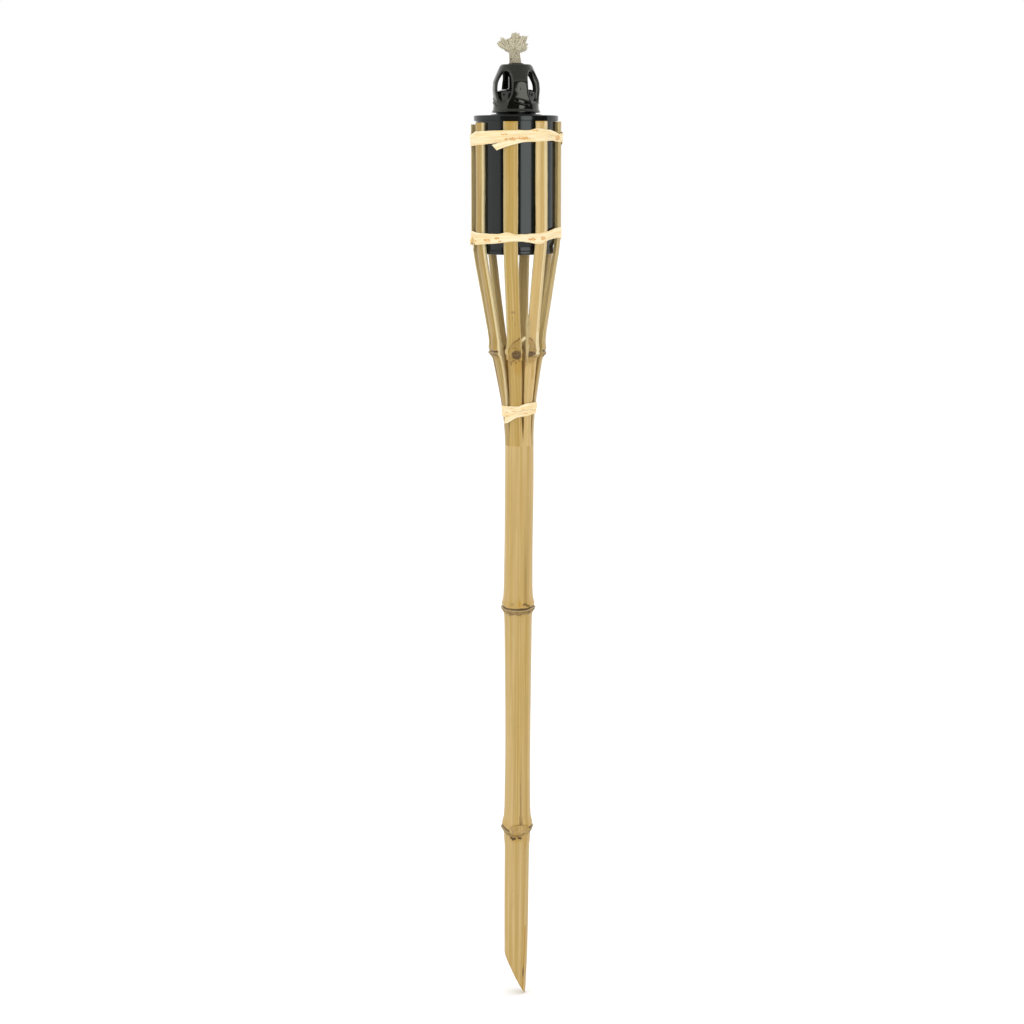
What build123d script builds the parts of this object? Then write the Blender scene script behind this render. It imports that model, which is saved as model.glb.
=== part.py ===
"""Garden torch: a split-bamboo basket on a pointed pole, holding a lamp-oil can with a screw-on burner."""
from build123d import *
import math
import os

# ---------------------------------------------------------------------------
# Driving dimensions, in millimetres.  z = 0 is the soil line on the stake.
# Azimuths are in degrees from the front (-Y) towards the right (+X).
# ---------------------------------------------------------------------------
# bamboo culm
TIP_Z = -91.0                 # lowest point of the slanted cut
STAKE_R = 7.6                 # the lowest internode, which goes into the soil
STAKE_LOW_Z = -55.0
STAKE_HIGH_Z = 5.0
TIP_R = 7.0
CUT_AZIMUTH = 75.0            # side on which the slanted cut ends in its point
CUT_SLOPE = 1.93              # rise over run of the cut
LOW_NODE_Z = 18.5
MID_NODE_Z = 160.0
NODE_CREST_R = 10.2
CULM_R = 8.8                  # at the root of the splits
CULM_WALL = 1.8
LOW_CAVITY_R = 5.2
MID_CAVITY_R = 5.8
DIAPHRAGM = 2.0               # half the thickness of a diaphragm at a node
ROOT_Z = 262.0                # the culm is split into eight slats above this

# slats: azimuth, height of the sawn end, and the cracks between them at the root
SLATS = [
    (-7.0, 456.6),
    (35.0, 456.8),
    (78.0, 456.7),
    (126.0, 455.6),
    (168.0, 456.3),
    (216.0, 455.9),
    (262.0, 455.1),
    (303.0, 455.9),
]
CRACKS = [-36.0, 15.0, 58.0, 102.0, 147.0, 190.0, 234.0, 280.0, 324.0]
SPREAD = 18.4                 # how far each slat stands out at the basket
SPREAD_SLOPE = 0.17
LOW_BEND_Z = 278.6
BEND_REACH_LOW = 16.4         # from a bend's corner to where its arc begins
BEND_REACH_HIGH = 9.0
SPLIT_NODE_Z = 320.0
SPLIT_NODE_PROUD = 1.8

# lamp-oil can
SHEET = 0.4
CAN_R = 24.1
CAN_BOTTOM_Z = 378.5
CAN_TOP_Z = 460.3
SEAM_R = 22.8
SEAM_HEIGHT = 2.5
RIM_R = 25.4
RIM_HEIGHT = 3.2
NECK_R = 12.0
NECK_BORE_R = 11.0
NECK_TOP_Z = 467.3
THREAD_CREST = 0.45
THREAD_PITCH = 2.4

# burner
CAP_BOTTOM_Z = 462.0
CAP_TOP_Z = 490.3
CAP_R = 13.75
CAP_HEM_R = 14.5
CAP_SHEET = 0.6
WINDOW_AZIMUTHS = [-32.0, 58.0, 148.0, 238.0]
WINDOW_Z = 477.2
WINDOW_HALF_HEIGHT = 8.75
WINDOW_HALF_WIDTH = 5.6
LUG_AZIMUTHS = [17.0, 107.0, 197.0, 287.0]
LUG_Z = 466.6
LUG_REACH_R = 12.65
GASKET_HEIGHT = 0.8
SEAT_GAP = 0.05
PLATE_R = 13.0
TUBE_R = 4.6
TUBE_BORE_R = 4.0
TUBE_TOP_Z = 483.2
TUBE_BOTTOM_Z = 462.5

# wick
WICK_R = 3.55
WICK_BOTTOM_Z = 386.0
WICK_FRAY_Z = 497.5
LIP_BORE_R = 3.9

# raffia
RAFFIA = 0.5
TIE_GAP = 0.05
UPPER_TIE = (444.0, 451.5)
LOWER_TIE = (384.6, 391.0)
NECK_TIE = (279.5, 288.5)

os.makedirs("parts", exist_ok=True)


def heading(azimuth):
    """Level unit vector pointing away from the axis at an azimuth."""
    angle = math.radians(azimuth)
    return Vector(math.sin(angle), -math.cos(angle), 0)


def upright_plane(azimuth):
    """Plane through the axis: its x runs outwards at the azimuth and its y runs up."""
    outwards = heading(azimuth)
    return Plane(origin=(0, 0, 0), x_dir=outwards, z_dir=outwards.cross(Vector(0, 0, 1)))


def slat_offset(z):
    """How far a slat has moved out from the culm's axis at a height on its straight stretch."""
    return (z - LOW_BEND_Z) * SPREAD_SLOPE


def save(piece, name):
    """Label a finished piece and write its STEP file."""
    piece.part.label = name
    export_step(piece.part, f"parts/{name}.step")


# ---------------------------------------------------------------------------
# Bamboo pole: pointed culm with two nodes and three hollow internodes
# ---------------------------------------------------------------------------
cut_direction = heading(CUT_AZIMUTH)
cut_plane = Plane(
    origin=cut_direction * TIP_R + Vector(0, 0, TIP_Z),
    z_dir=cut_direction * CUT_SLOPE + Vector(0, 0, 1),
)
cavities = [
    (LOW_CAVITY_R, TIP_Z - 10, LOW_NODE_Z - DIAPHRAGM),
    (MID_CAVITY_R, LOW_NODE_Z + DIAPHRAGM, MID_NODE_Z - DIAPHRAGM),
    (CULM_R - CULM_WALL, MID_NODE_Z + DIAPHRAGM, ROOT_Z),
]
with BuildPart() as bamboo_pole:
    with BuildSketch(Plane.XZ):
        with BuildLine():
            Line((0, TIP_Z), (TIP_R, TIP_Z))
            Line((TIP_R, TIP_Z), (STAKE_R, STAKE_LOW_Z))
            Line((STAKE_R, STAKE_LOW_Z), (STAKE_R, STAKE_HIGH_Z))
            Line((STAKE_R, STAKE_HIGH_Z), (8.2, LOW_NODE_Z - 7))
            Spline(
                (8.2, LOW_NODE_Z - 7),
                (NODE_CREST_R, LOW_NODE_Z),
                (8.1, LOW_NODE_Z + 10),
                tangents=[(0, 1), (0, 1)],
            )
            Spline(
                (8.1, LOW_NODE_Z + 10),
                (7.85, 67),
                (8.6, MID_NODE_Z - 12),
                tangents=[(0, 1), (0.04, 1)],
            )
            Spline(
                (8.6, MID_NODE_Z - 12),
                (NODE_CREST_R + 0.3, MID_NODE_Z),
                (8.9, MID_NODE_Z + 9),
                tangents=[(0.04, 1), (0, 1)],
            )
            Line((8.9, MID_NODE_Z + 9), (8.65, 200))
            Line((8.65, 200), (CULM_R, 244))
            Line((CULM_R, 244), (CULM_R, ROOT_Z))
            Line((CULM_R, ROOT_Z), (0, ROOT_Z))
            Line((0, ROOT_Z), (0, TIP_Z))
        make_face()
    revolve(axis=Axis.Z)
    for cavity_r, floor_z, roof_z in cavities:
        with Locations((0, 0, floor_z)):
            Cylinder(cavity_r, roof_z - floor_z, align=(Align.CENTER, Align.CENTER, Align.MIN), mode=Mode.SUBTRACT)
    split(bisect_by=cut_plane, keep=Keep.TOP)
save(bamboo_pole, "bamboo_pole")

# ---------------------------------------------------------------------------
# Slats: the eight splits of the culm, bent out round the can
# ---------------------------------------------------------------------------
high_bend_z = LOW_BEND_Z + SPREAD / SPREAD_SLOPE
spread_tilt = math.atan(SPREAD_SLOPE)
bend_radii = [
    BEND_REACH_LOW / math.tan(spread_tilt / 2),
    BEND_REACH_HIGH / math.tan(spread_tilt / 2),
]


def ridge_plane(azimuth, start):
    """Plane through a slat's own tilted axis at the split node, turned to the slat's first edge."""
    outwards = heading(azimuth)
    up = Vector(0, 0, 1)
    axis = outwards * math.sin(spread_tilt) + up * math.cos(spread_tilt)
    radial = outwards * math.cos(spread_tilt) - up * math.sin(spread_tilt)
    tangent = up.cross(outwards)
    edge = math.radians(start - azimuth)
    first = radial * math.cos(edge) + tangent * math.sin(edge)
    centre = outwards * slat_offset(SPLIT_NODE_Z) + up * SPLIT_NODE_Z
    return Plane(origin=centre, x_dir=first, z_dir=first.cross(axis))


def make_slat(azimuth, top_z, start, end):
    """One split of the culm: a ring sector swept up the basket, with its share of the node."""
    with BuildPart() as slat:
        with BuildLine(upright_plane(azimuth)):
            FilletPolyline(
                (0, ROOT_Z),
                (0, LOW_BEND_Z),
                (SPREAD, high_bend_z),
                (SPREAD, top_z),
                radius=bend_radii,
            )
        with BuildSketch(Plane.XY.offset(ROOT_Z)):
            with BuildLine():
                outer = CenterArc((0, 0), CULM_R, start - 90, end - start)
                inner = CenterArc((0, 0), CULM_R - CULM_WALL, start - 90, end - start)
                Line(outer @ 0, inner @ 0)
                Line(outer @ 1, inner @ 1)
            make_face()
        sweep()
        node = ridge_plane(azimuth, start)
        with BuildSketch(node):
            with BuildLine():
                Line((CULM_R - 0.2, -7), (CULM_R - 0.2, 10))
                Spline(
                    (CULM_R - 0.2, 10),
                    (CULM_R + SPLIT_NODE_PROUD, 0),
                    (CULM_R - 0.2, -7),
                    tangents=[(0, -1), (0, -1)],
                )
            make_face()
            with Locations((CULM_R - CULM_WALL - 0.5, 0)):
                Rectangle(1.6, 2 * DIAPHRAGM)
        revolve(axis=Axis(node.origin, node.y_dir), revolution_arc=end - start)
    return slat


for number, (azimuth, top_z) in enumerate(SLATS):
    slat = make_slat(azimuth, top_z, CRACKS[number], CRACKS[number + 1])
    save(slat, f"slat_{number + 1}")

# ---------------------------------------------------------------------------
# Raffia ties: two round the basket, one round the neck of the splits
# ---------------------------------------------------------------------------


def make_basket_tie(low_z, high_z, spread):
    """A taut band that follows the slats' round faces and runs straight between them."""
    centres = [heading(azimuth) * spread for azimuth, _ in SLATS]
    with BuildPart() as tie:
        for reach, mode in ((TIE_GAP + RAFFIA, Mode.ADD), (TIE_GAP, Mode.SUBTRACT)):
            with BuildSketch(Plane.XY.offset(low_z)):
                with BuildLine():
                    Polyline([(centre.X, centre.Y) for centre in centres], close=True)
                make_face()
                offset(amount=CULM_R + reach)
            extrude(amount=high_z - low_z, mode=mode)
    return tie


save(make_basket_tie(*UPPER_TIE, SPREAD), "raffia_tie_upper")
save(make_basket_tie(*LOWER_TIE, SPREAD), "raffia_tie_lower")

neck_low_z, neck_high_z = NECK_TIE
neck_low_r = CULM_R + 1.1
neck_high_r = CULM_R + 1.95
with BuildPart() as raffia_tie_neck:
    with BuildSketch(Plane.XZ):
        with BuildLine():
            Polyline(
                (neck_low_r, neck_low_z),
                (neck_low_r + 2 * RAFFIA, neck_low_z),
                (neck_high_r + 2 * RAFFIA, neck_high_z),
                (neck_high_r, neck_high_z),
                close=True,
            )
        make_face()
    revolve(axis=Axis.Z)
save(raffia_tie_neck, "raffia_tie_neck")

# ---------------------------------------------------------------------------
# Lamp-oil can: side wall, base, lid and filler neck
# ---------------------------------------------------------------------------
seam_top_z = CAN_BOTTOM_Z + SEAM_HEIGHT
rim_low_z = CAN_TOP_Z - RIM_HEIGHT
with BuildPart() as can_body:
    with BuildSketch(Plane.XZ):
        with BuildLine():
            Polyline(
                (SEAM_R - 0.2, seam_top_z),
                (SEAM_R - 0.2, seam_top_z + 2.2),
                (CAN_R, seam_top_z + 6.0),
                (CAN_R, rim_low_z),
                (CAN_R - SHEET, rim_low_z),
                (CAN_R - SHEET, seam_top_z + 6.1),
                (SEAM_R - 0.2 - SHEET, seam_top_z + 2.3),
                (SEAM_R - 0.2 - SHEET, seam_top_z),
                close=True,
            )
        make_face()
    revolve(axis=Axis.Z)
save(can_body, "can_body")

with BuildPart() as can_base:
    with BuildSketch(Plane.XZ):
        with Locations((SEAM_R - 1.0, CAN_BOTTOM_Z + SEAM_HEIGHT / 2)):
            seam = Rectangle(2.0, SEAM_HEIGHT)
        fillet(seam.vertices(), 0.6)
        with Locations((0, CAN_BOTTOM_Z + 1.2)):
            Rectangle(SEAM_R - 1.5, SHEET, align=(Align.MIN, Align.MIN))
    revolve(axis=Axis.Z)
save(can_base, "can_base")

boss_z = CAN_TOP_Z + 0.8
with BuildPart() as can_lid:
    with BuildSketch(Plane.XZ):
        with Locations((RIM_R - 1.0, CAN_TOP_Z - RIM_HEIGHT / 2)):
            rim = Rectangle(2.0, RIM_HEIGHT)
        fillet(rim.vertices().group_by(Axis.X)[-1], 0.9)
        with BuildLine():
            Polyline(
                (RIM_R - 1.8, CAN_TOP_Z - 1.6),
                (RIM_R - 1.8, CAN_TOP_Z - 1.2),
                (16.4, CAN_TOP_Z),
                (14.8, boss_z),
                (NECK_R, boss_z),
                (NECK_R, boss_z - SHEET),
                (14.6, boss_z - SHEET),
                (16.2, CAN_TOP_Z - SHEET),
                close=True,
            )
        make_face()
    revolve(axis=Axis.Z)
save(can_lid, "can_lid")

thread_low_z = NECK_TOP_Z - 4.6
with BuildPart() as filler_neck:
    with BuildSketch(Plane.XZ):
        with BuildLine():
            Polyline(
                (NECK_BORE_R, NECK_TOP_Z),
                (NECK_R, NECK_TOP_Z),
                (NECK_R, boss_z - SHEET),
                (NECK_R + 1.6, boss_z - SHEET),
                (NECK_R + 1.6, boss_z - 2 * SHEET),
                (NECK_BORE_R, boss_z - 2 * SHEET),
                close=True,
            )
        make_face()
    revolve(axis=Axis.Z)
    with BuildLine() as thread_line:
        Helix(pitch=THREAD_PITCH, height=1.4 * THREAD_PITCH, radius=NECK_R - 0.1, center=(0, 0, thread_low_z))
    thread_start = thread_line.line @ 0
    with BuildSketch(Plane(origin=thread_start, x_dir=(1, 0, 0), z_dir=(0, -1, 0))):
        with BuildLine():
            Polyline((0, -0.5), (THREAD_CREST + 0.1, -0.15), (THREAD_CREST + 0.1, 0.15), (0, 0.5), close=True)
        make_face()
    sweep(path=thread_line.wires()[0], is_frenet=True)
save(filler_neck, "filler_neck")

# ---------------------------------------------------------------------------
# Burner: gasket, base plate, wick tube and the windowed cap
# ---------------------------------------------------------------------------
gasket_z = NECK_TOP_Z + SEAT_GAP
plate_z = gasket_z + GASKET_HEIGHT + SEAT_GAP
with BuildPart() as neck_gasket:
    with BuildSketch(Plane.XY.offset(gasket_z)):
        Circle(NECK_R + 0.7)
        Circle(NECK_BORE_R - 0.2, mode=Mode.SUBTRACT)
    extrude(amount=GASKET_HEIGHT)
save(neck_gasket, "neck_gasket")

with BuildPart() as burner_plate:
    with BuildSketch(Plane.XZ):
        with BuildLine():
            Polyline((PLATE_R, plate_z), (PLATE_R, plate_z + SHEET), (11.8, plate_z + SHEET))
            ThreePointArc((11.8, plate_z + SHEET), (9.4, plate_z + 5.0), (5.8, plate_z + 7.2))
            Line((5.8, plate_z + 7.2), (TUBE_R + 0.4, plate_z + 8.6))
            Line((TUBE_R + 0.4, plate_z + 8.6), (TUBE_R + 0.05, plate_z + 8.6))
            Line((TUBE_R + 0.05, plate_z + 8.6), (TUBE_R + 0.05, plate_z + 6.9))
            Line((TUBE_R + 0.05, plate_z + 6.9), (5.7, plate_z + 6.7))
            ThreePointArc((5.7, plate_z + 6.7), (9.0, plate_z + 4.6), (11.3, plate_z))
            Line((11.3, plate_z), (PLATE_R, plate_z))
        make_face()
    revolve(axis=Axis.Z)
save(burner_plate, "burner_plate")

with BuildPart() as wick_tube:
    with BuildSketch(Plane.XY.offset(TUBE_BOTTOM_Z)):
        Circle(TUBE_R)
        Circle(TUBE_BORE_R, mode=Mode.SUBTRACT)
    extrude(amount=TUBE_TOP_Z - TUBE_BOTTOM_Z)
    fillet(wick_tube.edges().group_by(Axis.Z)[-1], 0.2)
save(wick_tube, "wick_tube")

with BuildPart() as burner_cap:
    with BuildSketch(Plane.XZ):
        with BuildLine():
            Line((0, CAP_BOTTOM_Z), (CAP_HEM_R, CAP_BOTTOM_Z))
            Line((CAP_HEM_R, CAP_BOTTOM_Z), (CAP_HEM_R, CAP_BOTTOM_Z + 0.7))
            Line((CAP_HEM_R, CAP_BOTTOM_Z + 0.7), (CAP_R, CAP_BOTTOM_Z + 1.6))
            Line((CAP_R, CAP_BOTTOM_Z + 1.6), (CAP_R, 476.0))
            Spline((CAP_R, 476.0), (12.6, 482.0), (9.6, CAP_TOP_Z - 1.2), tangents=[(0, 1), (-0.5, 1)])
            Line((9.6, CAP_TOP_Z - 1.2), (8.6, CAP_TOP_Z))
            Line((8.6, CAP_TOP_Z), (0, CAP_TOP_Z))
            Line((0, CAP_TOP_Z), (0, CAP_BOTTOM_Z))
        make_face()
    revolve(axis=Axis.Z)
    offset(amount=-CAP_SHEET, openings=burner_cap.faces().sort_by(Axis.Z)[0], kind=Kind.INTERSECTION)
    with Locations((0, 0, CAP_TOP_Z)):
        Cylinder(LIP_BORE_R + 0.4, 0.6, align=(Align.CENTER, Align.CENTER, Align.MIN))
    with Locations((0, 0, CAP_TOP_Z - 1)):
        Cylinder(LIP_BORE_R, 4, mode=Mode.SUBTRACT)
    for azimuth in WINDOW_AZIMUTHS:
        with BuildSketch(upright_plane(azimuth + 90).offset(-7.0)):
            with Locations((0, WINDOW_Z)):
                Ellipse(WINDOW_HALF_WIDTH, WINDOW_HALF_HEIGHT)
        extrude(amount=-10, mode=Mode.SUBTRACT)
    for azimuth in LUG_AZIMUTHS:
        with BuildSketch(upright_plane(azimuth + 90).offset(-LUG_REACH_R)):
            with Locations((0, LUG_Z)):
                Rectangle(5.0, 1.0)
        extrude(amount=-0.75)
save(burner_cap, "burner_cap")

# ---------------------------------------------------------------------------
# Wick: braided cord from the floor of the can up through the burner, frayed at the top
# ---------------------------------------------------------------------------
tufts = [
    # lean to the right, lean to the back, length, tip radius
    (-44.0, -14.0, 11.5, 2.6),
    (-24.0, 26.0, 8.5, 2.2),
    (0.0, 0.0, 11.5, 2.4),
    (31.0, -12.0, 9.6, 2.4),
    (20.0, 30.0, 8.5, 2.2),
]
with BuildPart() as wick:
    with Locations((0, 0, WICK_BOTTOM_Z)):
        Cylinder(
            WICK_R,
            WICK_FRAY_Z - WICK_BOTTOM_Z,
            align=(Align.CENTER, Align.CENTER, Align.MIN),
        )
    for lean_right, lean_back, length, tip_r in tufts:
        with Locations(Location((0, 0, WICK_FRAY_Z - 0.6), (-lean_back, lean_right, 0))):
            Cone(2.0, tip_r, length, align=(Align.CENTER, Align.CENTER, Align.MIN))
save(wick, "wick")
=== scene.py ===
"""Looks of a bamboo garden torch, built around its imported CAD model.

Shapes are worked out in millimetres and become metres when a piece is made.
Azimuths are in degrees from the front (-Y) towards the right (+X).
"""
import math
import random

import bpy
import bmesh
import numpy as np
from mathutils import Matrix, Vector, noise


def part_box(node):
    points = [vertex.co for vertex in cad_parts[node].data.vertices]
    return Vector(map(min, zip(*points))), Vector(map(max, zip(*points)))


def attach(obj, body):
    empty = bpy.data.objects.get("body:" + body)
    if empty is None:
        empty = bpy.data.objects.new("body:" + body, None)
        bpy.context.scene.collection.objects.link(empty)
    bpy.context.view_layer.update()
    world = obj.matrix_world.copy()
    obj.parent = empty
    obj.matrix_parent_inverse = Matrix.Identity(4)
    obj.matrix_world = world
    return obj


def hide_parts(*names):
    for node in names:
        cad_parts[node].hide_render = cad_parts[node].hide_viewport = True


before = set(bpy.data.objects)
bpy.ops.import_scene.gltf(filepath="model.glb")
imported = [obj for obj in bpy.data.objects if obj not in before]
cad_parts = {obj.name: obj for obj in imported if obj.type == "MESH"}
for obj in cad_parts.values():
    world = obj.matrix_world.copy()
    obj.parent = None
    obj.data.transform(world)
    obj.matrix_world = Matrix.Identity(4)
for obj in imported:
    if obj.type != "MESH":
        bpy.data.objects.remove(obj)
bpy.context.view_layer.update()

MM = 0.001


def low(node):
    """Height of a CAD node's lowest point, in millimetres."""
    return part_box(node)[0].z / MM


def high(node):
    """Height of a CAD node's highest point, in millimetres."""
    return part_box(node)[1].z / MM


def reach(node):
    """Radius of a round CAD node, in millimetres."""
    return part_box(node)[1].x / MM


# ---------------------------------------------------------------------------
# Camera
# ---------------------------------------------------------------------------
CAMERA_SIDE = -0.0024
CAMERA_DISTANCE = 1.300
CAMERA_HEIGHT = 0.440
CAMERA_PITCH = 9.600
CAMERA_LENS = 75.24

camera_data = bpy.data.cameras.new("camera")
camera_data.lens = CAMERA_LENS
camera_data.sensor_width = 36
camera = bpy.data.objects.new("camera", camera_data)
camera.location = (CAMERA_SIDE, -CAMERA_DISTANCE, CAMERA_HEIGHT)
camera.rotation_euler = (math.radians(90 - CAMERA_PITCH), 0, 0)
bpy.context.scene.collection.objects.link(camera)
bpy.context.scene.camera = camera


# ---------------------------------------------------------------------------
# Small mathematical helpers
# ---------------------------------------------------------------------------
class Curve:
    """A smooth curve through a few points that never overshoots them."""

    def __init__(self, *points):
        self.x, self.y = np.array(sorted(points), float).T
        run = np.diff(self.x)
        rise = np.diff(self.y) / run
        slope = np.zeros(len(self.x))
        slope[0], slope[-1] = rise[0], rise[-1]
        for i in range(1, len(rise)):
            if rise[i - 1] * rise[i] > 0:
                slope[i] = 2 * rise[i - 1] * rise[i] / (rise[i - 1] + rise[i])
        self.slope = slope

    def __call__(self, at):
        at = np.clip(np.asarray(at, float), self.x[0], self.x[-1])
        i = np.clip(np.searchsorted(self.x, at) - 1, 0, len(self.x) - 2)
        run = self.x[i + 1] - self.x[i]
        t = (at - self.x[i]) / run
        flat, rising = 2 * t**3 - 3 * t**2 + 1, t**3 - 2 * t**2 + t
        flat_end, rising_end = 3 * t**2 - 2 * t**3, t**3 - t**2
        return (
            flat * self.y[i] + rising * run * self.slope[i]
            + flat_end * self.y[i + 1] + rising_end * run * self.slope[i + 1]
        )


def stacked(*values):
    """Values broadcast together and stacked along a new last axis."""
    return np.stack(np.broadcast_arrays(*values), -1)


def away_from(azimuth, middle=0):
    """How far an azimuth lies to the right of another, from -180 to 180 degrees."""
    return (azimuth - middle + 180) % 360 - 180


def step(value, start, end):
    """0 before start, 1 after end, and smooth between them."""
    t = np.clip((np.asarray(value, float) - start) / (end - start), 0, 1)
    return t * t * (3 - 2 * t)


def wobble(x, y=0.0, z=0.0, seed=0.0):
    """Smooth noise from about -1 to 1, at each point of the arrays."""
    x, y, z = np.broadcast_arrays(np.asarray(x, float), y, z)
    flat = [noise.noise((a, b, c + 17.3 * seed)) for a, b, c in zip(x.flat, y.flat, z.flat)]
    return np.array(flat).reshape(x.shape)


def wobble_round(turn, size, z=0.0, seed=0.0):
    """Smooth noise that joins up round the axis, at angles in radians; a larger size is finer."""
    return wobble(np.sin(turn) * size, np.cos(turn) * size, z, seed)


def stroke(across, up, points, width, soft=0.5):
    """1 on a stroke drawn through points on an unrolled surface, falling to 0 over soft millimetres."""
    nearest = np.full(np.shape(across), 1e9)
    for (x0, y0), (x1, y1) in zip(points, points[1:]):
        run, rise = x1 - x0, y1 - y0
        along = ((across - x0) * run + (up - y0) * rise) / (run**2 + rise**2)
        along = np.clip(along, 0, 1)
        nearest = np.minimum(nearest, np.hypot(across - x0 - along * run, up - y0 - along * rise))
    return 1 - step(nearest, width / 2, width / 2 + soft)


def spot(across, up, centre, width, height, soft=0.4):
    """1 inside an ellipse on an unrolled surface, falling to 0 over a share of its size."""
    size = np.hypot((across - centre[0]) / (width / 2), (up - centre[1]) / (height / 2))
    return 1 - step(size, 1 - soft, 1 + soft)


# ---------------------------------------------------------------------------
# Making pieces
# ---------------------------------------------------------------------------
def ring_faces(rows, columns):
    """Quads between closed rings of points, which are stored ring by ring."""
    row, column = np.meshgrid(np.arange(rows - 1), np.arange(columns), indexing="ij")
    following = (column + 1) % columns
    corners = [
        row * columns + column,
        row * columns + following,
        (row + 1) * columns + following,
        (row + 1) * columns + column,
    ]
    return np.stack(corners, -1).reshape(-1, 4).tolist()


class Shape:
    """Points, faces and painted values gathered for one mesh."""

    def __init__(self):
        self.points, self.faces, self.values, self.count = [], [], {}, 0

    def add(self, points, faces, **values):
        """Adds points with their faces, which count from 0, and returns the first point's number."""
        first = self.count
        points = np.asarray(points, float).reshape(-1, 3)
        self.points.append(points)
        self.faces += [[i + first for i in face] for face in faces]
        for name, value in values.items():
            wide = np.asarray(value, float).reshape(len(points), -1)
            self.values.setdefault(name, []).append((first, wide))
        self.count += len(points)
        return first

    def rings(self, points, **values):
        """Adds closed rings joined to one another, an array of rings by points by 3."""
        return self.add(points, ring_faces(*points.shape[:2]), **values)

    def tube(self, points, **values):
        """Adds closed rings with a flat face over each end."""
        around = points.shape[1]
        first = self.rings(points, **values)
        last = first + (len(points) - 1) * around
        self.faces.append(list(range(first, first + around))[::-1])
        self.faces.append(list(range(last, last + around)))

    def make(self, name, material, body, slot, *nodes, sharp=40):
        """Makes the object, in metres, riding on its body."""
        mesh = bpy.data.meshes.new(name)
        points = np.concatenate(self.points)
        mesh.from_pydata((points * MM).tolist(), [], self.faces)
        for key, parts in self.values.items():
            width = parts[0][1].shape[1]
            kind = {1: "FLOAT", 3: "FLOAT_VECTOR", 4: "FLOAT_COLOR"}[width]
            whole = np.zeros((len(points), width), np.float32)
            for first, wide in parts:
                whole[first:first + len(wide)] = wide
            layer = mesh.attributes.new(key, kind, "POINT")
            field = {1: "value", 3: "vector", 4: "color"}[width]
            layer.data.foreach_set(field, whole.ravel())
        mesh.polygons.foreach_set("use_smooth", [True] * len(mesh.polygons))
        mesh.set_sharp_from_angle(angle=math.radians(sharp))
        mesh.materials.append(material)
        mesh.validate()
        piece = bpy.data.objects.new(name, mesh)
        bpy.context.scene.collection.objects.link(piece)
        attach(piece, body)
        if nodes:
            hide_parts(*nodes)
        return piece


def polar(radius, azimuth, z):
    """Points at a radius and azimuth, in degrees, round the torch's axis."""
    angle = np.radians(azimuth)
    return stacked(radius * np.sin(angle), -radius * np.cos(angle), z)


def upright(profile):
    """The radii and the heights of (radius, height) points, each as a column."""
    return (np.array(column)[:, None] for column in zip(*profile))


def lathe(profile, columns, relief=None, start=0.0):
    """A turned surface through (radius, height) points, as rings from a start azimuth."""
    azimuth = start + np.arange(columns) * 360 / columns
    radius, z = upright(profile)
    if relief is not None:
        radius = radius + relief(radius, azimuth, z)
    return polar(radius, azimuth[None, :], z)


def rounded(points, radii, pieces=5):
    """A profile with an arc of each radius in place of each inner corner."""
    out = [points[0]]
    for before, corner, after, radius in zip(points, points[1:], points[2:], radii):
        corner_v = Vector(corner)
        back = (Vector(before) - corner_v).normalized()
        on = (Vector(after) - corner_v).normalized()
        half = back.angle(on) / 2
        if radius == 0 or half > math.pi / 2 - 1e-3:
            out.append(corner)
            continue
        reach_back = radius / math.tan(half)
        centre = corner_v + (back + on).normalized() * radius / math.sin(half)
        start = corner_v + back * reach_back - centre
        end = corner_v + on * reach_back - centre
        turn = start.angle_signed(end)
        for i in range(pieces + 1):
            angle = -turn * i / pieces
            x = start.x * math.cos(angle) - start.y * math.sin(angle)
            y = start.x * math.sin(angle) + start.y * math.cos(angle)
            out.append((centre.x + x, centre.y + y))
    return out + [points[-1]]


# ---------------------------------------------------------------------------
# Materials
# ---------------------------------------------------------------------------
def colour(red, green, blue):
    """A colour given in 0 to 255 display values, as a shader wants it."""
    linear = [v / 255 / 12.92 if v < 11 else ((v / 255 + 0.055) / 1.055) ** 2.4 for v in (red, green, blue)]
    return (*linear, 1)


def add_node(tree, kind, inputs=(), output=0, **settings):
    """Adds a node, feeds its sockets with values or with other nodes' outputs, and returns an output."""
    node = tree.nodes.new("ShaderNode" + kind)
    for key, value in settings.items():
        setattr(node, key, value)
    for key, value in dict(inputs).items():
        if isinstance(value, bpy.types.NodeSocket):
            tree.links.new(value, node.inputs[key])
        else:
            node.inputs[key].default_value = value
    return node.outputs[output]


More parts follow.
